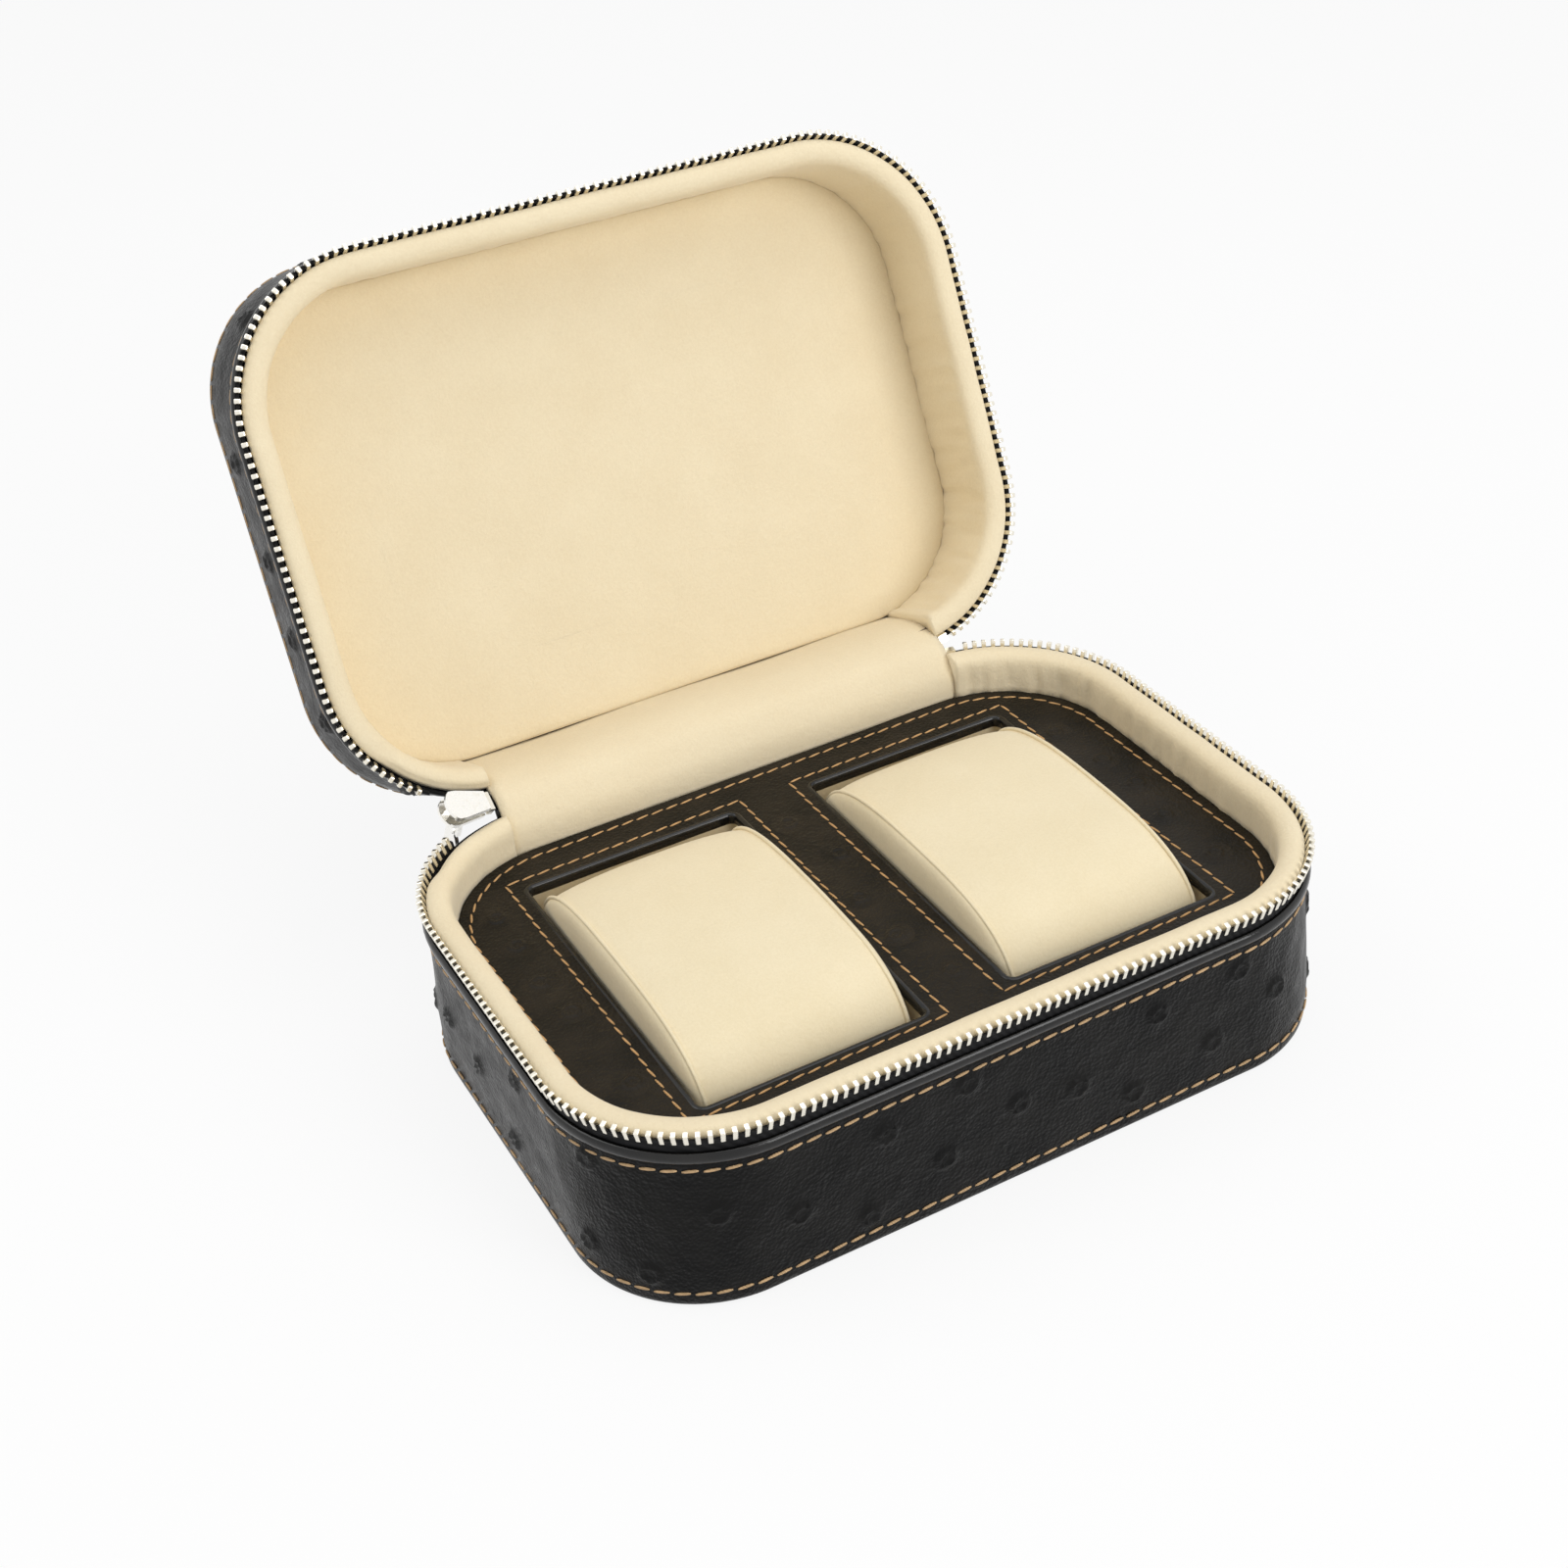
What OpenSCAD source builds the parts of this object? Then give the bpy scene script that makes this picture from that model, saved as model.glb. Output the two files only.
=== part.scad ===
// Travel case for two watches: a padded box with a lid that zips round three sides,
// a tray with two wells, and a lift-out cushion in each well.
// Frame: origin at the centre of the underside, +X along the width, +Y to the hinge, +Z up.
// The lid is drawn open, turned about the hinge line by lid_open.

/* [Case outline] */
// Width over the side leather
case_w = 196; // [180:1:230]
// Depth over the side leather, front to back
case_d = 137; // [126:1:160]
// Radius of the four upright corners, at the side leather
corner_r = 38; // [28:1:42]
// Height of the base, from the table to the line where the halves meet
base_h = 50; // [46:1:62]
// Height of the lid, from the line where the halves meet to its top
lid_h = 32; // [26:1:44]
// Angle that the lid stands open
lid_open = 114.5; // [60:0.5:150]

/* [Leather and board] */
// Thickness of the side leather
leather_t = 1.4; // [1:0.1:2]
// Thickness of the side leather where it is thinned under the binding
skived_t = 0.6; // [0.4:0.1:0.8]
// Thickness of the leather panel under the base and on top of the lid
panel_t = 1.6; // [1:0.1:2.4]
// Radius of the panels' outer edge
panel_edge_r = 1.1; // [0.5:0.1:1.5]
// Thickness of the stiff board in the walls, floor and lid
board_t = 2; // [1.5:0.1:3]
// Distance of the board's rim from the meeting line
board_rim = 5.2; // [4.6:0.1:6]
// Height of the rolled leather binding
binding_h = 3.6; // [2.8:0.1:4.4]
// How far the binding stands out from the side leather
binding_out = 0.9; // [0.5:0.1:1.4]
// Distance of the binding from the meeting line
binding_rim = 6.5; // [6.2:0.1:7.5]

/* [Zip] */
// Thickness of the zip tape, and of the leather hinge spine
tape_t = 0.8; // [0.5:0.1:1]
// Depth to which the tape is sewn in, from the meeting line
tape_root = 14; // [12:0.5:16]
// Distance of the tape's free edge from the meeting line
tape_edge = 2.4; // [2.2:0.1:3]
// Angle by which tape and teeth lean outwards
tape_lean = 17; // [10:0.5:20]
// Distance from one tooth to the next
tooth_pitch = 2.54; // [2.3:0.01:3.5]
// Length of a tooth along the tape
tooth_l = 1.25; // [1:0.05:1.5]
// Thickness of a tooth across the tape
tooth_t = 2.6; // [2.2:0.1:3]
// Distance of a tooth's foot from the meeting line
tooth_foot = 3.4; // [3:0.1:4]
// Half of the gap between the two rows when the lid is shut
tooth_gap = 0.2; // [0.1:0.05:0.4]
// Distance of the last tooth on the left from the slider's middle, along the width
teeth_left_set = 7.8; // [6.4:0.2:9]
// Distance of the last tooth on the right from the hinge lining's end, along the width
teeth_right_set = 5.2; // [4.8:0.1:11]

/* [Slider and pull] */
// Length of the slider
slider_l = 12; // [10:0.5:13]
// Width of the slider at its mouth
slider_w = 7.8; // [7:0.1:9]
// Width of the slider at its tail
slider_tail_w = 5; // [4:0.1:6]
// Thickness of the slider over its two plates
slider_t = 4.8; // [4.4:0.1:5.4]
// Thickness of each plate of the slider
slider_plate_t = 0.9; // [0.7:0.1:1.1]
// Distance of the slider's middle from the hinge lining's end, along the width
slider_set = 9.2; // [8:0.2:10]
// Radius of the pull's round bars
pull_bar_r = 0.6; // [0.5:0.05:0.8]
// Running clearance round the pull's bars
pull_clear = 0.1; // [0.05:0.01:0.15]
// Length of the pull's link, bar to bar
link_l = 6; // [5:0.5:9]
// Length of the pull's tab
tab_l = 17; // [12:0.5:24]
// Width of the pull's tab
tab_w = 6; // [5:0.5:9]
// Thickness of the pull's tab
tab_t = 1; // [0.8:0.1:1.2]
// Angle at which the pull hangs, from square to the slider
pull_hang = 21; // [0:1:40]

/* [Lining] */
// Thickness of the padded lining with the wall behind it, inwards from the side leather
lining_in = 7; // [6:0.1:8]
// Distance of the lining's outer side from the side leather, at the rim
lining_out = 1.6; // [1.5:0.05:2]
// Distance of the lining's rim from the meeting line
lining_rim = 1.9; // [1.7:0.1:2.4]
// Radius of the lining's rounded rim
lining_rim_r = 1.6; // [1:0.1:2]
// Thickness of the lining cloth where it crosses the hinge
flap_t = 0.8; // [0.6:0.1:1]
// Distance of the hinge lining's ends from the case's sides
flap_in = 33; // [30:1:38]
// Depth at which the hinge lining's padding starts
flap_pad = 8.5; // [7:0.5:11]
// Thickness of the lid's ceiling pad at its edge
pad_edge_t = 2.2; // [1.5:0.1:4]
// Crown of the lid's ceiling pad
pad_crown = 1.5; // [0.5:0.1:2.5]

/* [Tray and wells] */
// Depth of the tray's top below the meeting line
tray_depth = 12.1; // [11:0.1:13.5]
// Thickness of the tray's leather
tray_leather_t = 1.4; // [1:0.1:2]
// Thickness of the tray's board
tray_board_t = 1.6; // [1.2:0.1:2.5]
// Width of the bridge between the two openings
divider_w = 22.8; // [18:0.2:30]
// Width of each opening
well_w = 56.8; // [50:0.2:60]
// Depth of each opening, front to back
well_d = 93; // [80:0.5:96]
// How far the openings lie behind the middle of the case
well_y = 0.3; // [-2:0.1:2]
// Thickness of the leather lip turned down in each opening
lip_t = 0.9; // [0.6:0.1:1.2]
// How far the lip hangs down below the tray's leather
lip_h = 1.6; // [1.2:0.1:4]
// Thickness of a well's walls and floor
well_t = 1.2; // [0.8:0.1:2]
// Thickness of the card collar that carries the tray
collar_t = 3; // [2:0.1:3.6]

/* [Cushions] */
// Clearance between a cushion and its opening, on each side
cushion_clear = 0.5; // [0.4:0.05:1]
// Height of the cushion's crown above the tray
cushion_rise = 9.6; // [6:0.1:14]
// Height of the widest part of the cushion above its underside
cushion_belly = 19; // [15:0.5:22]
// Thickness of the suede and wadding round the foam core
cushion_skin = 2.4; // [2:0.1:4]
// How far the cushion is drawn in beside its piping
cushion_pinch = 0.8; // [0.2:0.1:1.5]
// Clearance under the cushion
cushion_seat = 0.3; // [0.2:0.05:0.4]

/* [Hidden] */
$fn = 64;

BLACK = "#2a2823";
CREAM = "#ead9b8";
METAL = "#d8d4cb";
BOARD = "#8a7a62";
TAPE = "#161616";

// Centres of the corner arcs
corner_x = case_w / 2 - corner_r;
corner_y = case_d / 2 - corner_r;

// The tape leans out from the binding to the meeting line. All offsets are outwards from the
// side leather, and "depth" is the distance from the meeting line into the half concerned.
tape_x = -skived_t - tape_t / 2;
lean_k = tan(tape_lean);
hinge_off = tape_x + binding_rim * lean_k;
hinge_y = case_d / 2 + hinge_off;
function lean_x(depth) = tape_x + (binding_rim - depth) * lean_k;
tape_half = tape_t / 2 / cos(tape_lean);
tooth_half = tooth_t / 2 / cos(tape_lean);

// Width of the hinge lining and the hinge spine, and the places along the back that follow it
flap_w = case_w - 2 * flap_in;
slider_x = flap_w / 2 + slider_set;
teeth_left_x = slider_x + teeth_left_set;
teeth_right_x = flap_w / 2 + teeth_right_set;

// Inner face of the board
board_in = leather_t + board_t;
base_floor = panel_t + board_t;

// Clearance of the tray's board and of the hinge lining to the wall boards
board_gap = 0.1;

// Levels of the tray
tray_top = base_h - tray_depth;
tray_board_top = tray_top - tray_leather_t;
tray_board_low = tray_board_top - tray_board_t;
well_x = divider_w / 2 + well_w / 2;

// The zip line, on which the teeth stand
zip_r = corner_r + lean_x(tooth_foot / 2);
arc_l = zip_r * PI / 2;
side_l = 2 * corner_y;
function back_angle(x) = acos((x - corner_x) / zip_r);
function zip_end(x) = corner_x + arc_l + side_l + zip_r * back_angle(x) * PI / 180;
teeth_left = zip_end(teeth_left_x);
teeth_right = zip_end(teeth_right_x);

// Gap at each end of the hinge lining, to the wall linings and to the spine's own ends
flap_gap = 0.2;
tape_angle = back_angle(flap_w / 2 + 2 * flap_gap);

// Place of the slider on the back left corner
slider_angle = back_angle(slider_x);
slider_off = hinge_off + 0.15;
bridge_h = 3.2;
bridge_l = 5;
bridge_w = 2.4;
bridge_t = 0.9;
pivot_off = slider_t / 2 + bridge_h - bridge_t - pull_clear - pull_bar_r;
slider_room = 0.4;

// The hinge lining rolls round the spine's fold, with a gap between them
fold_gap = 0.2;
function flap_r() = fold_r + fold_gap;

// The stop behind the slider, and how far along the hinge line the spine's fold runs to meet it
stop_t = 1.4;
stop_gap = 0.3;
stop_seat = 0.03;
stop_far = slider_l / 2 + stop_gap + stop_t;
fold_r = tape_half / cos(lid_open / 2 - tape_lean) + 0.05;
fold_end = corner_x + (corner_r + hinge_off - fold_r) / tan(slider_angle)
    - stop_far / sin(slider_angle) - stop_seat;

// Shared maths

function signed_pow(v, e) = sign(v) * pow(abs(v), e);

// Points round a rounded rectangle, eight to a corner
function round_points(hw, hd, r) = [
    for (corner = [0:3], step = [0:7])
        let (a = 90 * corner + 90 * step / 7,
             sx = (corner == 0 || corner == 3) ? 1 : -1,
             sy = corner < 2 ? 1 : -1)
        [sx * (hw - r) + r * cos(a), sy * (hd - r) + r * sin(a)]];

// A quarter of a circle in five steps, from the angle at which it starts
function arc_points(x, y, r, from) = [
    for (step = [0:5]) [x + r * cos(from + 18 * step), y + r * sin(from + 18 * step)]];

// Place and facing of the zip line, from the middle of the front: [x, y, angle of the normal]
function zip_at(s) =
    let (a = abs(s), after_arc = a - corner_x - arc_l, after_side = after_arc - side_l)
    a < corner_x ? [s, -corner_y - zip_r, -90] :
    let (turn = after_arc < 0 ? -90 + (a - corner_x) / zip_r * 180 / PI :
                after_side < 0 ? 0 : after_side / zip_r * 180 / PI,
         y = after_arc < 0 ? -corner_y : after_side < 0 ? -corner_y + after_arc : corner_y)
    let (x = corner_x + zip_r * cos(turn), at_y = y + zip_r * sin(turn))
    s > 0 ? [x, at_y, turn] : [-x, at_y, 180 - turn];

// Shared shapes

// The case outline, drawn in by inset
module outline(inset) {
    r = corner_r - inset;
    square([2 * corner_x, case_d - 2 * inset], center = true);
    square([case_w - 2 * inset, 2 * corner_y], center = true);
    for (sx = [-1, 1], sy = [-1, 1])
        translate([sx * corner_x, sy * corner_y]) circle(r);
}

module slab(inset, low, high) {
    translate([0, 0, low]) linear_extrude(high - low) outline(inset);
}

module ring(outer_inset, inner_inset, low, high) {
    difference() {
        slab(outer_inset, low, high);
        slab(inner_inset, low - 1, high + 1);
    }
}

// Sweeps a profile round the outline: its x is outwards from the side leather, its y is height.
// With zip_only, it stops at the ends of the zip and leaves out the back.
module around(zip_only = false) {
    for (sx = [0, 1], sy = [0, 1])
        mirror([sx, 0, 0]) mirror([0, sy, 0]) translate([corner_x, corner_y, 0])
            rotate_extrude(angle = zip_only && sy == 0 ? tape_angle : 90)
                translate([corner_r, 0]) children();
    for (sx = [0, 1])
        mirror([sx, 0, 0]) translate([case_w / 2, 0, 0]) rotate([90, 0, 0])
            linear_extrude(2 * corner_y, center = true) children();
    for (sy = zip_only ? [1] : [0, 1])
        mirror([0, sy, 0]) translate([0, case_d / 2, 0]) rotate([90, 0, 90])
            linear_extrude(2 * corner_x, center = true) children();
}

// Extrudes a profile along X at the back, where its x is outwards and its y is height
module at_back(width) {
    translate([0, case_d / 2, 0]) rotate([90, 0, 90]) linear_extrude(width, center = true) children();
}

// Both halves are drawn from the meeting line upwards, then turned into their places
module on_base() {
    translate([0, 0, base_h]) mirror([0, 0, 1]) children();
}

module on_lid() {
    about_hinge(lid_open) translate([0, 0, base_h]) children();
}

module about_hinge(angle) {
    translate([0, hinge_y, base_h]) rotate([-angle, 0, 0]) translate([0, -hinge_y, -base_h]) children();
}

// Pieces that both halves have, drawn from the meeting line at height 0 to the panel at height h

module half_panel(h) {
    inner = 4;
    lap = 1;
    slab(inner - lap, h - panel_t, h);
    around() difference() {
        translate([-inner, h - panel_t]) square([inner, panel_t]);
        difference() {
            translate([-panel_edge_r, h - panel_edge_r]) square(panel_edge_r + 1);
            translate([-panel_edge_r, h - panel_edge_r]) circle(panel_edge_r);
        }
    }
}

module half_board(h) {
    difference() {
        slab(leather_t, board_rim, h - panel_t);
        slab(board_in, board_rim - 1, h - panel_t - board_t);
    }
}

module half_side_leather(h) {
    ring(0, leather_t, tape_root, h - panel_t);
    ring(0, skived_t, binding_rim + binding_h, tape_root);
}

module half_binding() {
    r = binding_h / 2;
    around() intersection() {
        translate([binding_out - r, binding_rim + r]) circle(r);
        translate([-skived_t, binding_rim]) square([skived_t + binding_out, binding_h]);
    }
}

module tape_profile(edge) {
    polygon([
        [-skived_t - tape_t, tape_root], [-skived_t, tape_root], [-skived_t, binding_rim],
        [lean_x(edge) + tape_half, edge], [lean_x(edge) - tape_half, edge],
        [-skived_t - tape_t, binding_rim]]);
}

module half_tape() {
    difference() {
        around(zip_only = true) tape_profile(tape_edge);
        slider_hollow();
    }
}

// The slot by which a tooth or a stop stands over the tape's edge, with a clearance round the tape
slot_half = tape_half + 0.15;
slot_top = tape_edge - 0.1;

// One tooth: legs on both sides of the tape's edge, and a head that leans with the tape
module tooth() {
    off = -lean_x(tooth_foot / 2);
    translate([off, 0, 0]) rotate([90, 0, 0]) linear_extrude(tooth_l, center = true)
        polygon([
            [lean_x(tooth_gap) - tooth_half, tooth_gap], [lean_x(tooth_gap) + tooth_half, tooth_gap],
            [lean_x(tooth_foot) + tooth_half, tooth_foot], [lean_x(tooth_foot) + slot_half, tooth_foot],
            [lean_x(slot_top) + slot_half, slot_top], [lean_x(slot_top) - slot_half, slot_top],
            [lean_x(tooth_foot) - slot_half, tooth_foot], [lean_x(tooth_foot) - tooth_half, tooth_foot]]);
}

module half_teeth(start) {
    for (s = [-teeth_left + start * tooth_pitch : tooth_pitch : teeth_right]) {
        p = zip_at(s);
        translate([p[0], p[1], 0]) rotate(p[2]) tooth();
    }
}

// The stop at the right-hand end of a row, a little thinner and lower than the teeth
module half_stop() {
    stop_l = 2.6;
    stop_after = tooth_pitch + 0.4;
    stop_half = tooth_half - 0.3;
    stop_top = tape_edge - 0.9;
    p = zip_at(teeth_right + stop_after);
    translate([p[0], p[1], 0]) rotate(p[2])
        translate([-lean_x(tooth_foot / 2), 0, 0]) rotate([90, 0, 0]) linear_extrude(stop_l, center = true)
        polygon([
            [lean_x(stop_top) - stop_half, stop_top], [lean_x(stop_top) + stop_half, stop_top],
            [lean_x(tooth_foot) + stop_half, tooth_foot], [lean_x(tooth_foot) + slot_half, tooth_foot],
            [lean_x(slot_top) + slot_half, slot_top], [lean_x(slot_top) - slot_half, slot_top],
            [lean_x(tooth_foot) - slot_half, tooth_foot], [lean_x(tooth_foot) - stop_half, tooth_foot]]);
}

// The padded lining: a wall down to foot, and a rounded rim over the board's edge
module half_lining(foot) {
    r = lining_rim_r;
    difference() {
        around() polygon(concat(
            [[-lining_in, foot]],
            arc_points(r - lining_in, lining_rim + r, r, 180),
            arc_points(-lining_out - r, lining_rim + r, r, 270),
            [[-lining_out, board_rim], [-board_in, board_rim], [-board_in, foot]]));
        translate([-flap_w / 2 - flap_gap, corner_y, -1])
            cube([flap_w + 2 * flap_gap, corner_r + 5, foot + 2]);
    }
}

// One leg of the hinge lining, from the meeting line down to foot
module flap_profile(foot) {
    rim = board_rim - board_gap;
    polygon([
        [-lining_in, foot], [-lining_in, flap_pad], [hinge_off - flap_r() - flap_t, 0],
        [hinge_off - flap_r(), 0], [-board_in + 4 * board_gap, rim], [-board_in, rim], [-board_in, foot]]);
}

// The hinge pieces are straight. Past the start of the corners they are cut back by as much as
// the walls curve in there, so that they clear the wall at this inset.
module corner_relief(inset, low, high) {
    reach = max(0, flap_w / 2 - corner_x);
    r = corner_r - inset;
    sag = r - sqrt(r * r - reach * reach);
    for (sx = [0, 1])
        mirror([sx, 0, 0]) translate([corner_x, case_d / 2 - inset - sag, low])
            cube([corner_r, corner_r, high - low]);
}

module half_flap(foot) {
    difference() {
        at_back(flap_w) flap_profile(foot);
        corner_relief(board_in, board_rim - board_gap, foot + 1);
    }
}

module half_spine() {
    difference() {
        at_back(flap_w - 2 * flap_gap) tape_profile(0);
        corner_relief(skived_t, binding_rim, tape_root + 1);
    }
}

// Base

module base_bottom_leather() {
    color(BLACK) on_base() half_panel(base_h);
}

module base_board() {
    color(BOARD) on_base() half_board(base_h);
}

module base_side_leather() {
    color(BLACK) on_base() half_side_leather(base_h);
}

module base_binding() {
    color(BLACK) on_base() half_binding();
}

module base_zip_tape() {
    color(TAPE) on_base() half_tape();
}

module base_zip_teeth() {
    color(METAL) on_base() half_teeth(0);
}

module base_zip_stop() {
    color(METAL) on_base() half_stop();
}

module base_wall_lining() {
    color(CREAM) on_base() half_lining(base_h - tray_board_top);
}

// Card collar inside the walls, on which the tray lies
module tray_collar() {
    color(BOARD) ring(board_in, board_in + collar_t, base_floor, tray_board_low);
}

// Tray

module opening(side, grow, low, high) {
    w = well_w + 2 * grow;
    d = well_d + 2 * grow;
    translate([side * well_x - w / 2, well_y - d / 2, low]) cube([w, d, high - low]);
}

module well(side) {
    difference() {
        opening(side, lip_t + well_t, base_floor, tray_board_low);
        opening(side, lip_t, base_floor + well_t, tray_board_low + 1);
    }
}

module well_lip(side) {
    difference() {
        opening(side, lip_t, tray_board_top - lip_h, tray_board_top);
        opening(side, 0, tray_board_top - lip_h - 1, tray_board_top + 1);
    }
}

module left_well() {
    color(CREAM) well(-1);
}

module right_well() {
    color(CREAM) well(1);
}

module tray_board() {
    color(BOARD) difference() {
        slab(board_in + board_gap, tray_board_low, tray_board_top);
        for (side = [-1, 1]) opening(side, lip_t, tray_board_low - 1, tray_board_top + 1);
    }
}

module tray_leather() {
    leather_gap = 0.2;
    color(BLACK) difference() {
        slab(lining_in + leather_gap, tray_board_top, tray_top);
        for (side = [-1, 1]) opening(side, 0, tray_board_top - 1, tray_top + 1);
    }
}

module left_well_lip() {
    color(BLACK) well_lip(-1);
}

module right_well_lip() {
    color(BLACK) well_lip(1);
}

// Cushions: a band of suede goes round front to back, between two piped end panels

cushion_hw = well_w / 2 - cushion_clear;
cushion_hd = well_d / 2 - cushion_clear;
cushion_low = base_floor + well_t + cushion_seat;
cushion_mid = cushion_low + cushion_belly;
cushion_up = tray_top + cushion_rise - cushion_mid;
cushion_power = 3;
cushion_sides = 36;

// Outline of the band, seen from the end, drawn in evenly by shrink
function band(shrink) = [
    for (i = [0:cushion_sides - 1])
        let (a = 360 * i / cushion_sides, c = cos(a), s = sin(a), e = 2 / cushion_power,
             rise = (s > 0 ? cushion_up : cushion_belly) - shrink)
        [well_y + (cushion_hd - shrink) * signed_pow(c, e), cushion_mid + rise * signed_pow(s, e)]];

// From the middle of an end panel to the crown: [distance from the end, how far drawn in]
function band_steps() = [
    [0, 13], [0.1, 8], [0.6, 3.6], [1.2, 2.2], [1.6, 1.1], [2.4, 1.0], [3.2, 1.0 + cushion_pinch],
    [5, 1.2], [9, 0.7], [16, 0.2], [cushion_hw, 0]];

module cushion_shape(side) {
    half = band_steps();
    n = len(half);
    steps = concat(
        [for (i = [0:n - 1]) [half[i][0] - cushion_hw, half[i][1]]],
        [for (i = [n - 2:-1:0]) [cushion_hw - half[i][0], half[i][1]]]);
    m = len(steps);
    k = cushion_sides;
    points = concat(
        [for (step = steps) for (p = band(step[1])) [side * well_x + step[0], p[0], p[1]]],
        [for (sx = [-1, 1]) [side * well_x + sx * cushion_hw, well_y, cushion_mid + 4]]);
    skin = [for (i = [0:m - 2], j = [0:k - 1])
        let (a = i * k + j, b = i * k + (j + 1) % k, c = a + k, d = b + k) each [[a, b, d], [a, d, c]]];
    ends = [for (j = [0:k - 1]) each [
        [m * k, (j + 1) % k, j],
        [m * k + 1, (m - 1) * k + j, (m - 1) * k + (j + 1) % k]]];
    polyhedron(points, concat(skin, ends), convexity = 4);
}

module cushion_core(side) {
    core_w = 2 * (cushion_hw - 2 * cushion_skin);
    translate([side * well_x - core_w / 2, 0, 0]) rotate([90, 0, 90]) linear_extrude(core_w)
        polygon(band(2 * cushion_skin));
}

module cushion_cover(side) {
    difference() {
        cushion_shape(side);
        cushion_core(side);
    }
}

module left_cushion_core() {
    color("khaki") cushion_core(-1);
}

module left_cushion_cover() {
    color(CREAM) cushion_cover(-1);
}

module right_cushion_core() {
    color("khaki") cushion_core(1);
}

module right_cushion_cover() {
    color(CREAM) cushion_cover(1);
}

// Hinge: a leather spine outside and a cream lining inside cross from the base to the lid

module hinge_spine() {
    fold_over = 0.1;
    color(BLACK) {
        translate([-fold_end, hinge_y, base_h]) rotate([0, 90, 0])
            cylinder(r = fold_r, h = fold_end + flap_w / 2 - flap_gap + fold_over);
        on_base() half_spine();
        on_lid() half_spine();
    }
}

module hinge_lining() {
    reach = 4 * (flap_r() + flap_t);
    lap = 4;
    turn = lid_open + 2 * lap;
    color(CREAM) {
        on_base() half_flap(base_h - tray_board_top);
        on_lid() half_flap(lid_h - base_floor);
        translate([0, hinge_y, base_h]) rotate([90, 0, 90])
            linear_extrude(flap_w - 2 * flap_gap, center = true) intersection() {
                difference() {
                    circle(flap_r() + flap_t);
                    circle(flap_r());
                }
                polygon([[0, 0], for (i = [0:6]) reach * [
                    -cos(turn * i / 6 - lap), sin(turn * i / 6 - lap)]]);
            }
    }
}

// Lid

module lid_top_leather() {
    color(BLACK) on_lid() half_panel(lid_h);
}

module lid_board() {
    color(BOARD) on_lid() half_board(lid_h);
}

module lid_side_leather() {
    color(BLACK) on_lid() half_side_leather(lid_h);
}

module lid_binding() {
    color(BLACK) on_lid() half_binding();
}

module lid_zip_tape() {
    color(TAPE) on_lid() half_tape();
}

module lid_zip_teeth() {
    color(METAL) on_lid() half_teeth(0.5);
}

module lid_zip_stop() {
    color(METAL) on_lid() half_stop();
}

module lid_wall_lining() {
    color(CREAM) on_lid() half_lining(lid_h - base_floor);
}

// Padded panel on the lid's ceiling, with a crowned face towards the watches
module lid_ceiling_pad() {
    inset = lining_in + 0.3;
    hw = case_w / 2 - inset;
    hd = case_d / 2 - inset;
    r = corner_r - inset;
    top = lid_h - base_floor;
    edge = top - pad_edge_t;
    steps = [[0.5, top], [0, top - 0.5], [0, edge + 0.6], [0.9, edge], [4, edge - 0.45 * pad_crown],
        [12, edge - 0.8 * pad_crown], [24, edge - pad_crown]];
    m = len(steps);
    k = 32;
    points = concat(
        [for (step = steps) for (p = round_points(hw - step[0], hd - step[0], r - step[0]))
            [p[0], p[1], step[1]]],
        [[0, 0, top], [0, 0, edge - pad_crown]]);
    skin = [for (i = [0:m - 2], j = [0:k - 1])
        let (a = i * k + j, b = i * k + (j + 1) % k, c = a + k, d = b + k) each [[a, b, d], [a, d, c]]];
    ends = [for (j = [0:k - 1]) each [
        [m * k, (j + 1) % k, j],
        [m * k + 1, (m - 1) * k + j, (m - 1) * k + (j + 1) % k]]];
    color(CREAM) on_lid() polyhedron(points, concat(skin, ends), convexity = 4);
}

// Zip slider and pull, drawn with x outwards, y towards the hinge and z across the rows

module at_slider(angle) {
    about_hinge(angle)
        translate([-corner_x, corner_y, base_h]) rotate(180 - slider_angle)
            translate([corner_r + slider_off, 0, 0]) mirror([0, 1, 0]) children();
}

// The space that the slider takes, cut out of the tapes
module slider_hollow() {
    w = slider_w + 2 * slider_room;
    translate([0, 0, -base_h]) at_slider(0)
        translate([-slider_t / 2 - 2, -slider_l / 2 - 1, -w / 2]) cube([slider_t + 4, slider_l + 5, w]);
}

module slider_plan(mouth, tail) {
    front = -slider_l / 2;
    intersection() {
        polygon([
            [front, -mouth / 2], [front + 4, -mouth / 2], [slider_l / 2, -tail / 2],
            [slider_l / 2, tail / 2], [front + 4, mouth / 2], [front, mouth / 2]]);
        translate([front + mouth * 0.6, 0]) union() {
            circle(mouth * 0.6);
            translate([0, -mouth]) square([slider_l, 2 * mouth]);
        }
    }
}

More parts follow.
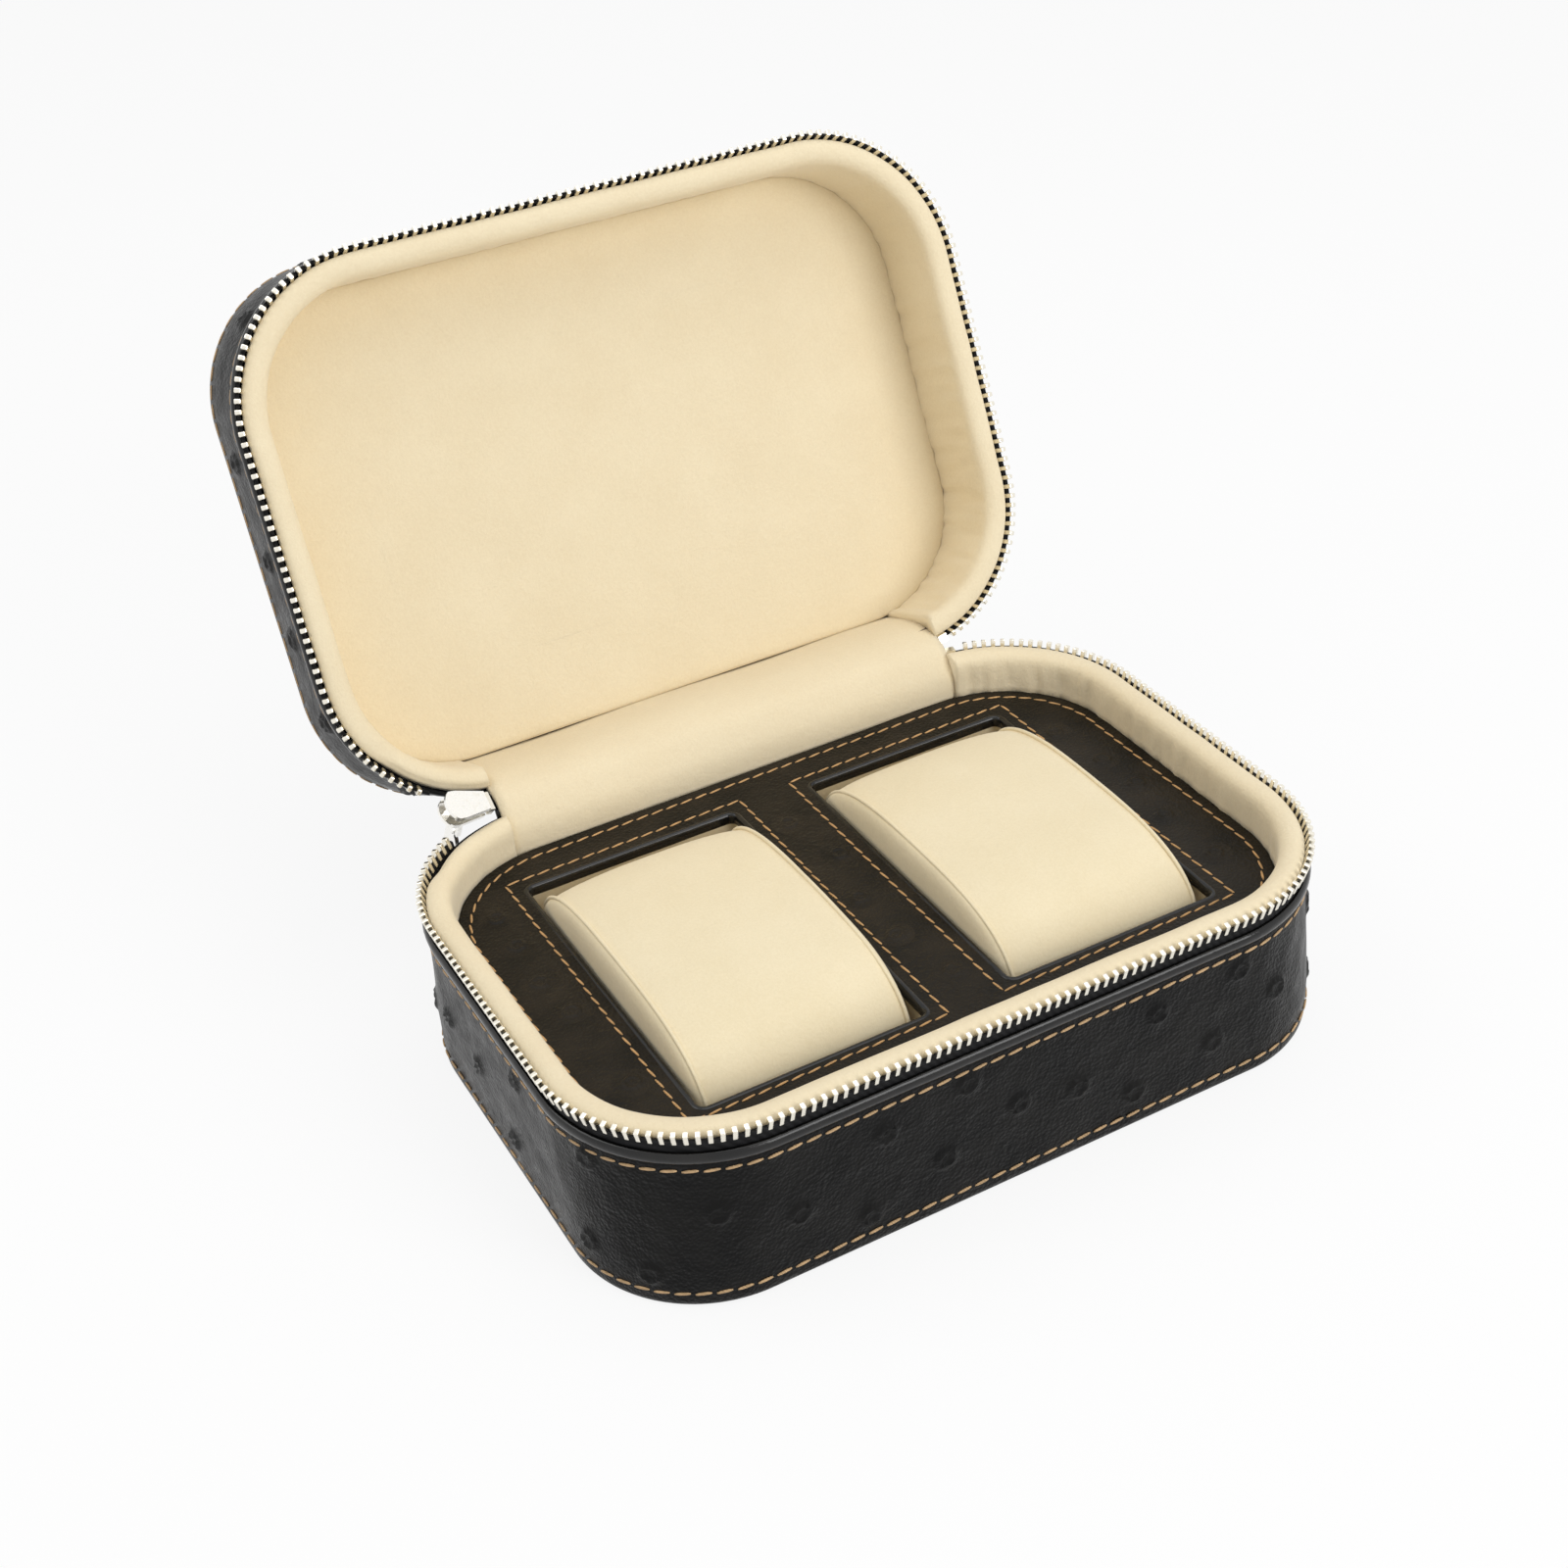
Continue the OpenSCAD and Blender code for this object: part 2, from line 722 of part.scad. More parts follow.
module slider_body() {
    wedge_w = 2;
    flange_t = 0.6;
    flange_gap = 1;
    depth = slider_t / 2;
    color(METAL) at_slider(lid_open / 2) {
        for (side = [0, 1]) mirror([side, 0, 0]) {
            translate([depth - slider_plate_t, 0, 0]) rotate([90, 0, 90])
                linear_extrude(slider_plate_t) slider_plan(slider_w, slider_tail_w);
            translate([flange_gap, 0, 0]) rotate([90, 0, 90])
                linear_extrude(depth - slider_plate_t - flange_gap) difference() {
                    slider_plan(slider_w, slider_tail_w);
                    slider_plan(slider_w - 2 * flange_t, slider_tail_w - 2 * flange_t);
                    translate([-slider_l / 2 - 1, -slider_w / 2 + flange_t])
                        square([slider_l / 2, slider_w - 2 * flange_t]);
                    translate([slider_l / 2 - 2, -slider_tail_w / 2 + flange_t])
                        square([4, slider_tail_w - 2 * flange_t]);
                }
        }
        rotate([90, 0, 90]) linear_extrude(slider_t - 2 * slider_plate_t, center = true)
            polygon([[-slider_l / 2 + 0.6, 0], [-slider_l / 2 + 2, wedge_w / 2], [-0.5, 0],
                [-slider_l / 2 + 2, -wedge_w / 2]]);
    }
}

// Arch on the slider's outer plate, which holds the pull's link
module slider_bridge() {
    color(METAL) at_slider(lid_open / 2) translate([slider_t / 2, 0, 0]) difference() {
        translate([0, -bridge_l / 2, -bridge_w / 2]) cube([bridge_h, bridge_l, bridge_w]);
        translate([-1, -bridge_l / 2 + bridge_t, -bridge_w])
            cube([bridge_h + 1 - bridge_t, bridge_l - 2 * bridge_t, 2 * bridge_w]);
    }
}

// Metal stop that joins the two tapes behind the slider
module zip_bottom_stop() {
    color(METAL) at_slider(lid_open / 2)
        translate([-1.6, slider_l / 2 + stop_gap, -slider_tail_w / 2]) cube([2.6, stop_t, slider_tail_w]);
}

link_in = bridge_w / 2 + 0.5;
link_bar = 1;

module pull_frame() {
    at_slider(lid_open / 2) translate([pivot_off, 0, 0]) rotate([0, 0, pull_hang]) children();
}

// Link: two round bars joined by two flat sides
module pull_link() {
    color(METAL) pull_frame() {
        for (x = [0, link_l]) translate([x, 0, 0])
            cylinder(r = pull_bar_r, h = 2 * link_in + 2 * link_bar, center = true);
        for (side = [-1, 1])
            translate([-pull_bar_r, -pull_bar_r, side * (link_in + link_bar / 2) - link_bar / 2])
                cube([link_l + 2 * pull_bar_r, 2 * pull_bar_r, link_bar]);
    }
}

// Tab: a flat blade that hangs from the link's far bar by an eye
module pull_tab() {
    eye_w = 2 * link_in - 0.6;
    eye_r = pull_bar_r + 0.7;
    neck = eye_r + 1;
    color(METAL) pull_frame() translate([link_l, 0, 0]) difference() {
        union() {
            cylinder(r = eye_r, h = eye_w, center = true);
            translate([0, -tab_t / 2, -eye_w / 2]) cube([neck + 1, tab_t, eye_w]);
            translate([neck + tab_w / 2, 0, 0]) rotate([90, 0, 0])
                cylinder(d = tab_w, h = tab_t, center = true);
            translate([neck + tab_w / 2, -tab_t / 2, -tab_w / 2]) cube([tab_l - tab_w - neck, tab_t, tab_w]);
            translate([tab_l - tab_w / 2, 0, 0]) rotate([90, 0, 0])
                cylinder(d = tab_w, h = tab_t, center = true);
        }
        cylinder(r = pull_bar_r + pull_clear, h = eye_w + 1, center = true);
    }
}

base_bottom_leather();
base_board();
base_side_leather();
base_binding();
base_zip_tape();
base_zip_teeth();
base_zip_stop();
base_wall_lining();
tray_collar();
left_well();
right_well();
tray_board();
tray_leather();
left_well_lip();
right_well_lip();
left_cushion_core();
left_cushion_cover();
right_cushion_core();
right_cushion_cover();
hinge_spine();
hinge_lining();
lid_top_leather();
lid_board();
lid_side_leather();
lid_binding();
lid_zip_tape();
lid_zip_teeth();
lid_zip_stop();
lid_wall_lining();
lid_ceiling_pad();
slider_body();
slider_bridge();
zip_bottom_stop();
pull_link();
pull_tab();
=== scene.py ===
"""Dressed model of a zip-round travel case for two watches, standing open.

Sizes are written in millimetres, as in the CAD model, and become metres when a piece is made.
A point of a half is given by its distance out from the side leather ("out") and its distance
from the line where the halves meet ("depth"). Materials work in metres.
"""
import logging
import math
import random
from dataclasses import dataclass, field
from enum import Enum
from typing import Callable, ClassVar, Iterable, Sequence

import bmesh
import bpy
from bmesh.types import BMEdge, BMesh, BMVert
from mathutils import Matrix, Vector, noise


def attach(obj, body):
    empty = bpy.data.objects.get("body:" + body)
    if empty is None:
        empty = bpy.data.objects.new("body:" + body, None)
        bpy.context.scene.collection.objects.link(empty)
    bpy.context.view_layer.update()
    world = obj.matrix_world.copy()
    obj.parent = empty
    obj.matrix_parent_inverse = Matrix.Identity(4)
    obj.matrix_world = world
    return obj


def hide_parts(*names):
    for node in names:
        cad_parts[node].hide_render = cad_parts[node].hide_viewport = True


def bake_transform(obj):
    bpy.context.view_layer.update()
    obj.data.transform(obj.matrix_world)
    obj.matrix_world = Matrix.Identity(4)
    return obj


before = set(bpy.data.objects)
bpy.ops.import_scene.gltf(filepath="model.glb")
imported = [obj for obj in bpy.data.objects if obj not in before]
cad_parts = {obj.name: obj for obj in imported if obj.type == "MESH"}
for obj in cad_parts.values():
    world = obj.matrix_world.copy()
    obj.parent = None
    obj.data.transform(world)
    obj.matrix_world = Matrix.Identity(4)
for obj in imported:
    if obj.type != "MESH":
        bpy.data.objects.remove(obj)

LOG = logging.getLogger("watch_case")
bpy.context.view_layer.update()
MM = 0.001
TO_METRES = Matrix.Scale(MM, 4)
IN_METRES = Matrix.Identity(4)
UP = Vector((0.0, 0.0, 1.0))
TINY = 1e-6
MIN_CORNER_CELLS = 6

# Flat panels lie this far along their surface coordinates, in metres, and the tray a quarter as
# far. The leather shows its fine quill rings only beyond half of it, because the walls and the
# tray have theirs in the mesh.
FLAT_SHIFT = 4.0
TRAY_SHIFT = FLAT_SHIFT / 4

Color = tuple[float, float, float, float]
Spot = tuple[float, float]
Profile = Sequence[Spot]
Seam = list[tuple[Vector, Vector, Vector]]
Socket = bpy.types.NodeSocket


def clamp(value: float, low: float = 0.0, high: float = 1.0) -> float:
    """Holds a value between two limits."""
    return max(low, min(high, value))


def ease(value: float) -> float:
    """Goes smoothly from 0 to 1 as the value does."""
    share = clamp(value)
    return share * share * (3 - 2 * share)


def signed_power(value: float, power: float) -> float:
    """Raises a value's size to a power and keeps its sign."""
    return math.copysign(abs(value) ** power, value)


class Half(Enum):
    """The two halves of the case; each value is the CAD body that it rides on."""

    BASE = "base"
    LID = "lid"


@dataclass(frozen=True)
class Outline:
    """A rectangle with rounded corners that profiles are swept round, in millimetres."""

    half_width: float
    half_depth: float
    corner: float

    @property
    def corner_x(self) -> float:
        """Distance of the corner arcs' centres from the middle, along X."""
        return self.half_width - self.corner

    @property
    def corner_y(self) -> float:
        """Distance of the corner arcs' centres from the middle, along Y."""
        return self.half_depth - self.corner

    @property
    def half_round(self) -> float:
        """Half of the distance round the outline."""
        return 2 * (self.corner_x + self.corner_y) + math.pi * self.corner

    def core(self, x: float, y: float) -> Spot:
        """The place nearest to a point in the rectangle between the corner arcs' centres."""
        return clamp(x, -self.corner_x, self.corner_x), clamp(y, -self.corner_y, self.corner_y)

    def outward(self, x: float, y: float) -> Vector:
        """The outline's outward direction nearest to a point.

        Args:
            x: place along X, in millimetres.
            y: place along Y, in millimetres.

        Returns:
            A unit vector in the plane of the outline.
        """
        core_x, core_y = self.core(x, y)
        side = Vector((x - core_x, y - core_y, 0.0))
        return side.normalized() if side.length > TINY else Vector((0.0, -1.0, 0.0))

    def squared(self, at: Vector, normal: Vector, amount: float) -> Vector:
        """Moves a point of the outline to where a tighter corner radius puts it.

        Args:
            at: the point.
            normal: the outward direction there.
            amount: how much smaller the corner radius is.

        Returns:
            The moved point.
        """
        x = clamp(at.x / self.corner_x, -1.0) * (1 - abs(normal.x))
        y = clamp(at.y / self.corner_y, -1.0) * (1 - abs(normal.y))
        return at + Vector((x, y, 0.0)) * amount

    def along(self, x: float, y: float) -> float:
        """Distance round the outline from the middle of the front, negative to the left."""
        normal = self.outward(x, y)
        turn = abs(math.atan2(normal.x, -normal.y))
        straight = min(abs(x), self.corner_x)
        run = straight
        if turn > TINY:
            run = self.corner_x + min(turn, math.pi / 2) * self.corner
            run += clamp(y + self.corner_y, 0.0, 2 * self.corner_y)
        if turn > math.pi / 2:
            run += (turn - math.pi / 2) * self.corner + self.corner_x - straight
        return math.copysign(run, x)

    def inset(self, at: Vector) -> float:
        """How far a place lies inside the outline."""
        return self.corner - (at.xy - Vector(self.core(at.x, at.y))).length


@dataclass(frozen=True)
class CaseShape(Outline):
    """Driving sizes of the case, the same as the CAD model's, and where its soft edges give way."""

    half_width: float = 98.0
    half_depth: float = 68.5
    corner: float = 38.0
    base_height: float = 50.0
    lid_height: float = 32.0
    open_angle: float = 114.5
    hinge_y: float = 69.487
    flap_half: float = 65.0
    tape_lean: float = 17.0
    binding_rim: float = 6.5
    slider_spot: Spot = (-74.2, 64.0)
    slider_reach: float = 25.0
    slider_fade: float = 9.0
    square_from: float = 9.0
    square_to: float = 4.0
    square_amount: float = 5.0

    def near_slider(self, at: Vector) -> float:
        """How close a place is to the parked slider, where soft edges give way, from 0 to 1."""
        away = (at.xy - Vector(self.slider_spot)).length
        return ease((self.slider_reach - away) / self.slider_fade)

    def panel_square(self, depth: float, height: float) -> float:
        """How much tighter a half's corners are at a depth, from the zip to the outer panel."""
        return self.square_amount * ease(
            (depth - self.square_from) / (height - self.square_from - self.square_to))

    def placement(self, half: Half) -> Matrix:
        """The matrix from (x, y, depth) in millimetres to the row frame in metres."""
        raised = Matrix.Translation((0, 0, self.base_height))
        if half is Half.BASE:
            return TO_METRES @ raised @ Matrix.Diagonal((1, 1, -1, 1))
        about = Vector((0, self.hinge_y, self.base_height))
        turn = Matrix.Rotation(-math.radians(self.open_angle), 4, "X")
        return TO_METRES @ Matrix.Translation(about) @ turn @ Matrix.Translation(-about) @ raised


SHAPE = CaseShape()


# ---------------------------------------------------------------- materials


class NodeTree:
    """A node tree, with short calls to add and link nodes."""

    def __init__(self, tree: bpy.types.NodeTree) -> None:
        """Takes over an existing tree."""
        self.tree = tree

    def node(self, kind: str, links: dict[str | int, object] | None = None,
             **values: object) -> bpy.types.Node:
        """Adds a node.

        Args:
            kind: the node's type name, without the leading "ShaderNode".
            links: sockets by name or number, each with a value or another node's output.
            values: the node's own settings.

        Returns:
            The new node.
        """
        made = self.tree.nodes.new("ShaderNode" + kind)
        for key, value in values.items():
            setattr(made, key, value)
        for key, value in (links or {}).items():
            self.feed(made.inputs[key], value)
        return made

    def feed(self, socket: bpy.types.NodeSocket, value: object) -> None:
        """Links an output to a socket, or sets the socket's own value."""
        if isinstance(value, bpy.types.NodeSocket):
            self.tree.links.new(value, socket)
        else:
            socket.default_value = value

    def calc(self, operation: str, first: object, second: object = 0.0) -> Socket:
        """The result of a Math node."""
        return self.node("Math", {0: first, 1: second}, operation=operation).outputs[0]

    def ramp(self, value: object, low: float, high: float, to_low: float = 0.0,
             to_high: float = 1.0) -> Socket:
        """Maps a value from one range to another, with clamped ends."""
        return self.node("MapRange", {0: value, 1: low, 2: high, 3: to_low, 4: to_high}).outputs[0]

    def seen(self) -> Socket:
        """Is 1 for what the camera sees, straight or in a reflection, and 0 for what only lights."""
        rays = self.node("LightPath").outputs
        bent = self.calc("MAXIMUM", rays["Is Glossy Ray"], rays["Is Transmission Ray"])
        return self.calc("MAXIMUM", rays["Is Camera Ray"], bent)


class NodeSheet(NodeTree):
    """A new material's node tree, round its Principled BSDF."""

    def __init__(self, name: str) -> None:
        """Makes the material."""
        self.material = bpy.data.materials.new(name)
        self.material.use_nodes = True
        super().__init__(self.material.node_tree)
        self.skin = self.tree.nodes["Principled BSDF"]

    def blend(self, share: object, first: object, second: object) -> Socket:
        """Mixes two colours."""
        return self.node("Mix", {0: share, 6: first, 7: second}, data_type="RGBA").outputs[2]

    def mottle(self, place: Socket, scale: float, detail: float = 2.0, rough: float = 0.5) -> Socket:
        """A noise texture's value."""
        return self.node("TexNoise", {
            "Vector": place, "Scale": scale, "Detail": detail, "Roughness": rough}).outputs[0]

    def weave(self, place: Socket, scale: float, bands: str, distortion: float = 0.0) -> Socket:
        """A wave texture's value, in bands along a direction."""
        return self.node("TexWave", {"Vector": place, "Scale": scale, "Distortion": distortion},
                         bands_direction=bands).outputs[1]

    def relief(self, *layers: tuple[Socket, float]) -> None:
        """Chains bump layers into the skin's normal; each is (height, depth in metres)."""
        below = {}
        for height, depth in layers:
            bump = self.node("Bump", {"Height": height, "Distance": depth, "Strength": 1.0, **below})
            below = {"Normal": bump.outputs[0]}
        self.surface(**below)

    def surface(self, **sockets: object) -> None:
        """Sets the skin's sockets; an underscore in a name stands for a space."""
        for name, value in sockets.items():
            self.feed(self.skin.inputs[name.replace("_", " ")], value)


@dataclass(frozen=True)
class Finish:
    """A procedural material."""

    space: ClassVar[str] = "Object"

    name: str

    def make(self) -> bpy.types.Material:
        """Builds the material on the coordinates that it is laid on."""
        sheet = NodeSheet(self.name)
        self.paint(sheet, sheet.node("TexCoord").outputs[self.space])
        return sheet.material

    def paint(self, sheet: NodeSheet, place: Socket) -> None:
        """Sets the colour, gloss and relief.

        Args:
            sheet: the material's nodes.
            place: the coordinates, in metres.
        """
        raise NotImplementedError


@dataclass(frozen=True)
class QuillLeather(Finish):
    """Leather with a quill grain: pebbles, creases and, on flat panels, quill rings."""

    space: ClassVar[str] = "UV"

    dark: Color = (0.0014, 0.0014, 0.0014, 1.0)
    light: Color = (0.0062, 0.0058, 0.0052, 1.0)
    roughness: float = 0.34
    gloss: float = 0.13
    quill_pitch: float = 0.021
    quill_radius: float = 0.0024
    drift: float = 0.0012
    crease_depth: float = 0.00045
    pebble_depth: float = 0.00014
    quill_depth: float = 0.0006

    def quills(self, sheet: NodeSheet, place: Socket) -> tuple[Socket, Socket]:
        """The quill rings, and the swelling round them, on the flat panels only."""
        waves = sheet.node("TexNoise", {"Vector": place, "Scale": 60.0, "Detail": 1.0}).outputs[1]
        push = sheet.node("VectorMath", {0: waves, 3: self.drift}, operation="SCALE").outputs[0]
        bent = sheet.node("VectorMath", {0: place, 1: push}, operation="ADD").outputs[0]
        cells = sheet.node("TexVoronoi", {"Vector": bent, "Scale": 1 / self.quill_pitch,
                                          "Randomness": 0.8}, voronoi_dimensions="2D").outputs
        away, reach = cells["Distance"], self.quill_radius / self.quill_pitch
        from_ring = sheet.calc("ABSOLUTE", sheet.calc("SUBTRACT", away, reach))
        ring = sheet.ramp(from_ring, 0.0, reach * 0.42, 1.0, 0.0)
        pit = sheet.ramp(away, reach * 0.15, reach * 0.55, 0.7, 0.0)
        dome = sheet.ramp(away, reach * 1.1, reach * 2.4, 0.45, 0.0)
        chosen = sheet.ramp(sheet.node("SeparateColor", {0: cells["Color"]}).outputs[0], 0.30, 0.36)
        flat = sheet.ramp(sheet.node("SeparateXYZ", {0: place}).outputs[0],
                          FLAT_SHIFT / 2 - 0.01, FLAT_SHIFT / 2)
        kept = sheet.calc("MULTIPLY", chosen, flat)
        broken = sheet.ramp(sheet.mottle(place, 420.0, 1.0), 0.38, 0.56, 0.35, 1.0)
        marks = sheet.calc("MULTIPLY", sheet.calc("MAXIMUM", ring, pit), broken)
        return sheet.calc("MULTIPLY", marks, kept), sheet.calc("MULTIPLY", dome, kept)

    def paint(self, sheet: NodeSheet, place: Socket) -> None:
        """Sets the colour, gloss and relief on the piece's own surface coordinates."""
        rings, swell = self.quills(sheet, place)
        pebbles = sheet.node("TexVoronoi", {"Vector": place, "Scale": 1150.0},
                             voronoi_dimensions="2D", feature="SMOOTH_F1").outputs["Distance"]
        creases = sheet.mottle(place, 210.0, 4.0, 0.62)
        tone = sheet.ramp(sheet.mottle(place, 75.0, 4.0), 0.35, 0.68)
        rubbed = sheet.mottle(place, 150.0, 3.0)
        sheet.surface(
            Base_Color=sheet.blend(tone, self.dark, self.light), Specular_IOR_Level=self.gloss,
            Roughness=sheet.ramp(rubbed, 0.3, 0.7, self.roughness - 0.07, self.roughness + 0.08))
        sheet.relief((creases, self.crease_depth), (pebbles, self.pebble_depth),
                     (swell, self.quill_depth), (rings, self.quill_depth))


@dataclass(frozen=True)
class SmoothLeather(Finish):
    """Smooth, semi-glossy black leather, as on the rolled binding and the turned edges."""

    color: Color = (0.003, 0.003, 0.003, 1.0)
    worn: Color = (0.010, 0.009, 0.008, 1.0)
    roughness: float = 0.17

    def paint(self, sheet: NodeSheet, place: Socket) -> None:
        """Sets the colour, gloss and relief on object coordinates."""
        wear = sheet.mottle(place, 120.0, 4.0)
        sheet.surface(
            Base_Color=sheet.blend(sheet.ramp(wear, 0.4, 0.75), self.color, self.worn),
            Roughness=sheet.ramp(wear, 0.3, 0.7, self.roughness - 0.05, self.roughness + 0.08),
            Specular_IOR_Level=0.4)
        sheet.relief((sheet.mottle(place, 900.0, 3.0), 0.00005), (sheet.mottle(place, 160.0), 0.00014))


@dataclass(frozen=True)
class WovenTape(Finish):
    """Black woven zip tape: fine ribs in both directions."""

    color: Color = (0.004, 0.004, 0.0045, 1.0)
    lit: Color = (0.012, 0.012, 0.013, 1.0)
    rib_scale: float = 320.0
    unevenness: float = 0.6

    def paint(self, sheet: NodeSheet, place: Socket) -> None:
        """Sets the colour, gloss and relief on object coordinates."""
        ribs, warp = (sheet.weave(place, self.rib_scale, bands, self.unevenness)
                      for bands in ("Z", "DIAGONAL"))
        sheet.surface(Base_Color=sheet.blend(warp, self.color, self.lit), Roughness=0.85,
                      Specular_IOR_Level=0.2)
        sheet.relief((sheet.calc("MULTIPLY", ribs, warp), 0.00012))


@dataclass(frozen=True)
class PaleMetal(Finish):
    """Polished, nickel-plated metal of the zip."""

    color: Color = (0.86, 0.82, 0.72, 1.0)
    worn: Color = (0.78, 0.74, 0.65, 1.0)
    roughness: float = 0.24

    def paint(self, sheet: NodeSheet, place: Socket) -> None:
        """Sets the colour, gloss and relief on object coordinates."""
        wear = sheet.mottle(place, 700.0, 3.0)
        sheet.surface(
            Base_Color=sheet.blend(sheet.ramp(wear, 0.55, 0.95), self.color, self.worn),
            Roughness=sheet.ramp(wear, 0.3, 0.7, self.roughness - 0.03, self.roughness + 0.04),
            Metallic=1.0)
        sheet.relief((sheet.mottle(place, 1200.0), 0.000003))


@dataclass(frozen=True)
class NapCloth(Finish):
    """Soft cream cloth with a short nap, as on the lining and the cushions."""

    color: Color
    shade: Color
    nap: float = 0.00010
    pucker: float = 0.0002

    def paint(self, sheet: NodeSheet, place: Socket) -> None:
        """Sets the colour, sheen and relief on object coordinates."""
        soft = sheet.mottle(place, 55.0, 3.0)
        fine = sheet.mottle(place, 1500.0, 3.0, 0.65)
        tone = sheet.calc("ADD", sheet.calc("MULTIPLY", soft, 0.4), sheet.calc("MULTIPLY", fine, 0.6))
        sheet.surface(
            Base_Color=sheet.blend(sheet.ramp(tone, 0.36, 0.64), self.shade, self.color),
            Roughness=0.92, Sheen_Weight=0.25, Sheen_Roughness=0.5, Specular_IOR_Level=0.25)
        sheet.relief((sheet.mottle(place, 380.0, 4.0, 0.6), self.pucker), (fine, self.nap))


@dataclass(frozen=True)
class SewingThread(Finish):
    """Twisted tan thread."""

    color: Color = (0.50, 0.295, 0.125, 1.0)
    lift: float = 1.35

    def paint(self, sheet: NodeSheet, place: Socket) -> None:
        """Sets the colour, gloss and relief on object coordinates."""
        lit = (*(min(1.0, channel * self.lift) for channel in self.color[:3]), 1.0)
        tone = sheet.ramp(sheet.mottle(place, 500.0), 0.35, 0.7)
        sheet.surface(Base_Color=sheet.blend(tone, self.color, lit), Roughness=0.7)
        sheet.relief((sheet.weave(place, 900.0, "DIAGONAL"), 0.00008))


@dataclass(frozen=True)
class FibreBoard(Finish):
    """Brown pressed board inside the walls, which hardly shows."""

    color: Color = (0.10, 0.07, 0.045, 1.0)
    lit: Color = (0.2, 0.15, 0.1, 1.0)

    def paint(self, sheet: NodeSheet, place: Socket) -> None:
        """Sets the colour, gloss and relief on object coordinates."""
        flecks = sheet.mottle(place, 900.0, 4.0)
        sheet.surface(Base_Color=sheet.blend(flecks, self.color, self.lit), Roughness=0.9)
        sheet.relief((sheet.mottle(place, 1500.0, 3.0), 0.0001))


WALL_LEATHER = QuillLeather("wall_leather").make()
TRAY_LEATHER = QuillLeather("tray_leather", dark=(0.008, 0.0065, 0.004, 1.0),
                            light=(0.021, 0.016, 0.010, 1.0), roughness=0.40, gloss=0.14).make()
EDGE_LEATHER = SmoothLeather("edge_leather").make()
TAPE_CLOTH = WovenTape("tape_cloth").make()
ZIP_METAL = PaleMetal("zip_metal").make()
SLIDER_METAL = PaleMetal("slider_metal", color=(0.96, 0.945, 0.90, 1.0), roughness=0.28).make()
LINING_CLOTH = NapCloth("lining_cloth", color=(0.845, 0.735, 0.520, 1.0),
                        shade=(0.80, 0.68, 0.465, 1.0)).make()
CUSHION_SUEDE = NapCloth("cushion_suede", color=(0.85, 0.745, 0.525, 1.0),
                         shade=(0.80, 0.69, 0.465, 1.0), nap=0.00007, pucker=0.00012).make()
THREAD = SewingThread("tan_thread").make()
PALE_THREAD = SewingThread("pale_thread", color=(0.44, 0.29, 0.15, 1.0)).make()
BOARD = FibreBoard("fibre_board").make()


# ------------------------------------------------------------- mesh helpers


def mesh_of(name: str, bm: BMesh) -> bpy.types.Mesh:
    """Turns a shape into a mesh, and frees the shape."""
    mesh = bpy.data.meshes.new(name)
    bm.to_mesh(mesh)
    bm.free()
    return mesh


def link(name: str, data: bpy.types.ID) -> bpy.types.Object:
    """Makes an object and puts it in the scene."""
    made = bpy.data.objects.new(name, data)
    bpy.context.scene.collection.objects.link(made)
    return made


def add_piece(name: str, bm: BMesh, material: bpy.types.Material, matrix: Matrix = TO_METRES,
              smooth: bool = True) -> bpy.types.Object:
    """Makes an object at the origin from a shape, with its place in its mesh.

    Args:
        name: the piece's name.
        bm: the shape, which is freed.
        material: its finish.
        matrix: from the shape's coordinates to the row frame.
        smooth: whether faces are shaded smooth.

    Returns:
        The new object.
    """
    bm.transform(matrix)
    bmesh.ops.remove_doubles(bm, verts=bm.verts, dist=TINY)
    bmesh.ops.recalc_face_normals(bm, faces=bm.faces)
    mesh = mesh_of(name, bm)
    mesh.materials.append(material)
    if smooth:
        mesh.shade_smooth()
    else:
        mesh.shade_flat()
    return link(name, mesh)


def settle(piece: bpy.types.Object, body: str, slot: str, *nodes: str) -> bpy.types.Object:
    """Rides a piece on a body, and hides the CAD nodes that it stands for."""
    if nodes:
        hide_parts(*nodes)
    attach(piece, body)
    return piece


def dress(material: bpy.types.Material, *nodes: str) -> None:
    """Gives CAD nodes that stay in view their material."""
    for node in nodes:
        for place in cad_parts[node].material_slots:
            place.material = material


def edges_within(bm: BMesh, verts: set[BMVert]) -> list[BMEdge]:
    """The edges whose two ends are among some points."""
    return [edge for edge in bm.edges if verts.issuperset(edge.verts)]


def extrude(bm: BMesh, edges: Sequence[BMEdge]) -> tuple[list[BMVert], list[BMEdge]]:
    """Extrudes edges where they are.

    Args:
        bm: the shape.
        edges: a loop or chain of edges.

    Returns:
        The new points, and the new loop or chain.
    """
    made = bmesh.ops.extrude_edge_only(bm, edges=edges)["geom"]
    verts = [item for item in made if isinstance(item, BMVert)]
    fresh = set(verts)
    return verts, [item for item in made if isinstance(item, BMEdge) and fresh.issuperset(item.verts)]


def source(vert: BMVert, earlier: Iterable[BMVert]) -> BMVert:
    """The earlier point that a point was extruded from."""
    return next(edge.other_vert(vert) for edge in vert.link_edges if edge.other_vert(vert) in earlier)


def repeat(one: bpy.types.Mesh, stands: Iterable[Matrix]) -> BMesh:
    """Copies a mesh to many places, and removes it.

    Args:
        one: the mesh.
        stands: a matrix for each copy.

    Returns:
        One shape that holds all the copies.
    """
    bm = bmesh.new()
    for stand in stands:
        start = len(bm.verts)
        bm.from_mesh(one)
        bm.verts.ensure_lookup_table()
        bmesh.ops.transform(bm, matrix=stand, verts=bm.verts[start:])
    bpy.data.meshes.remove(one)
    return bm


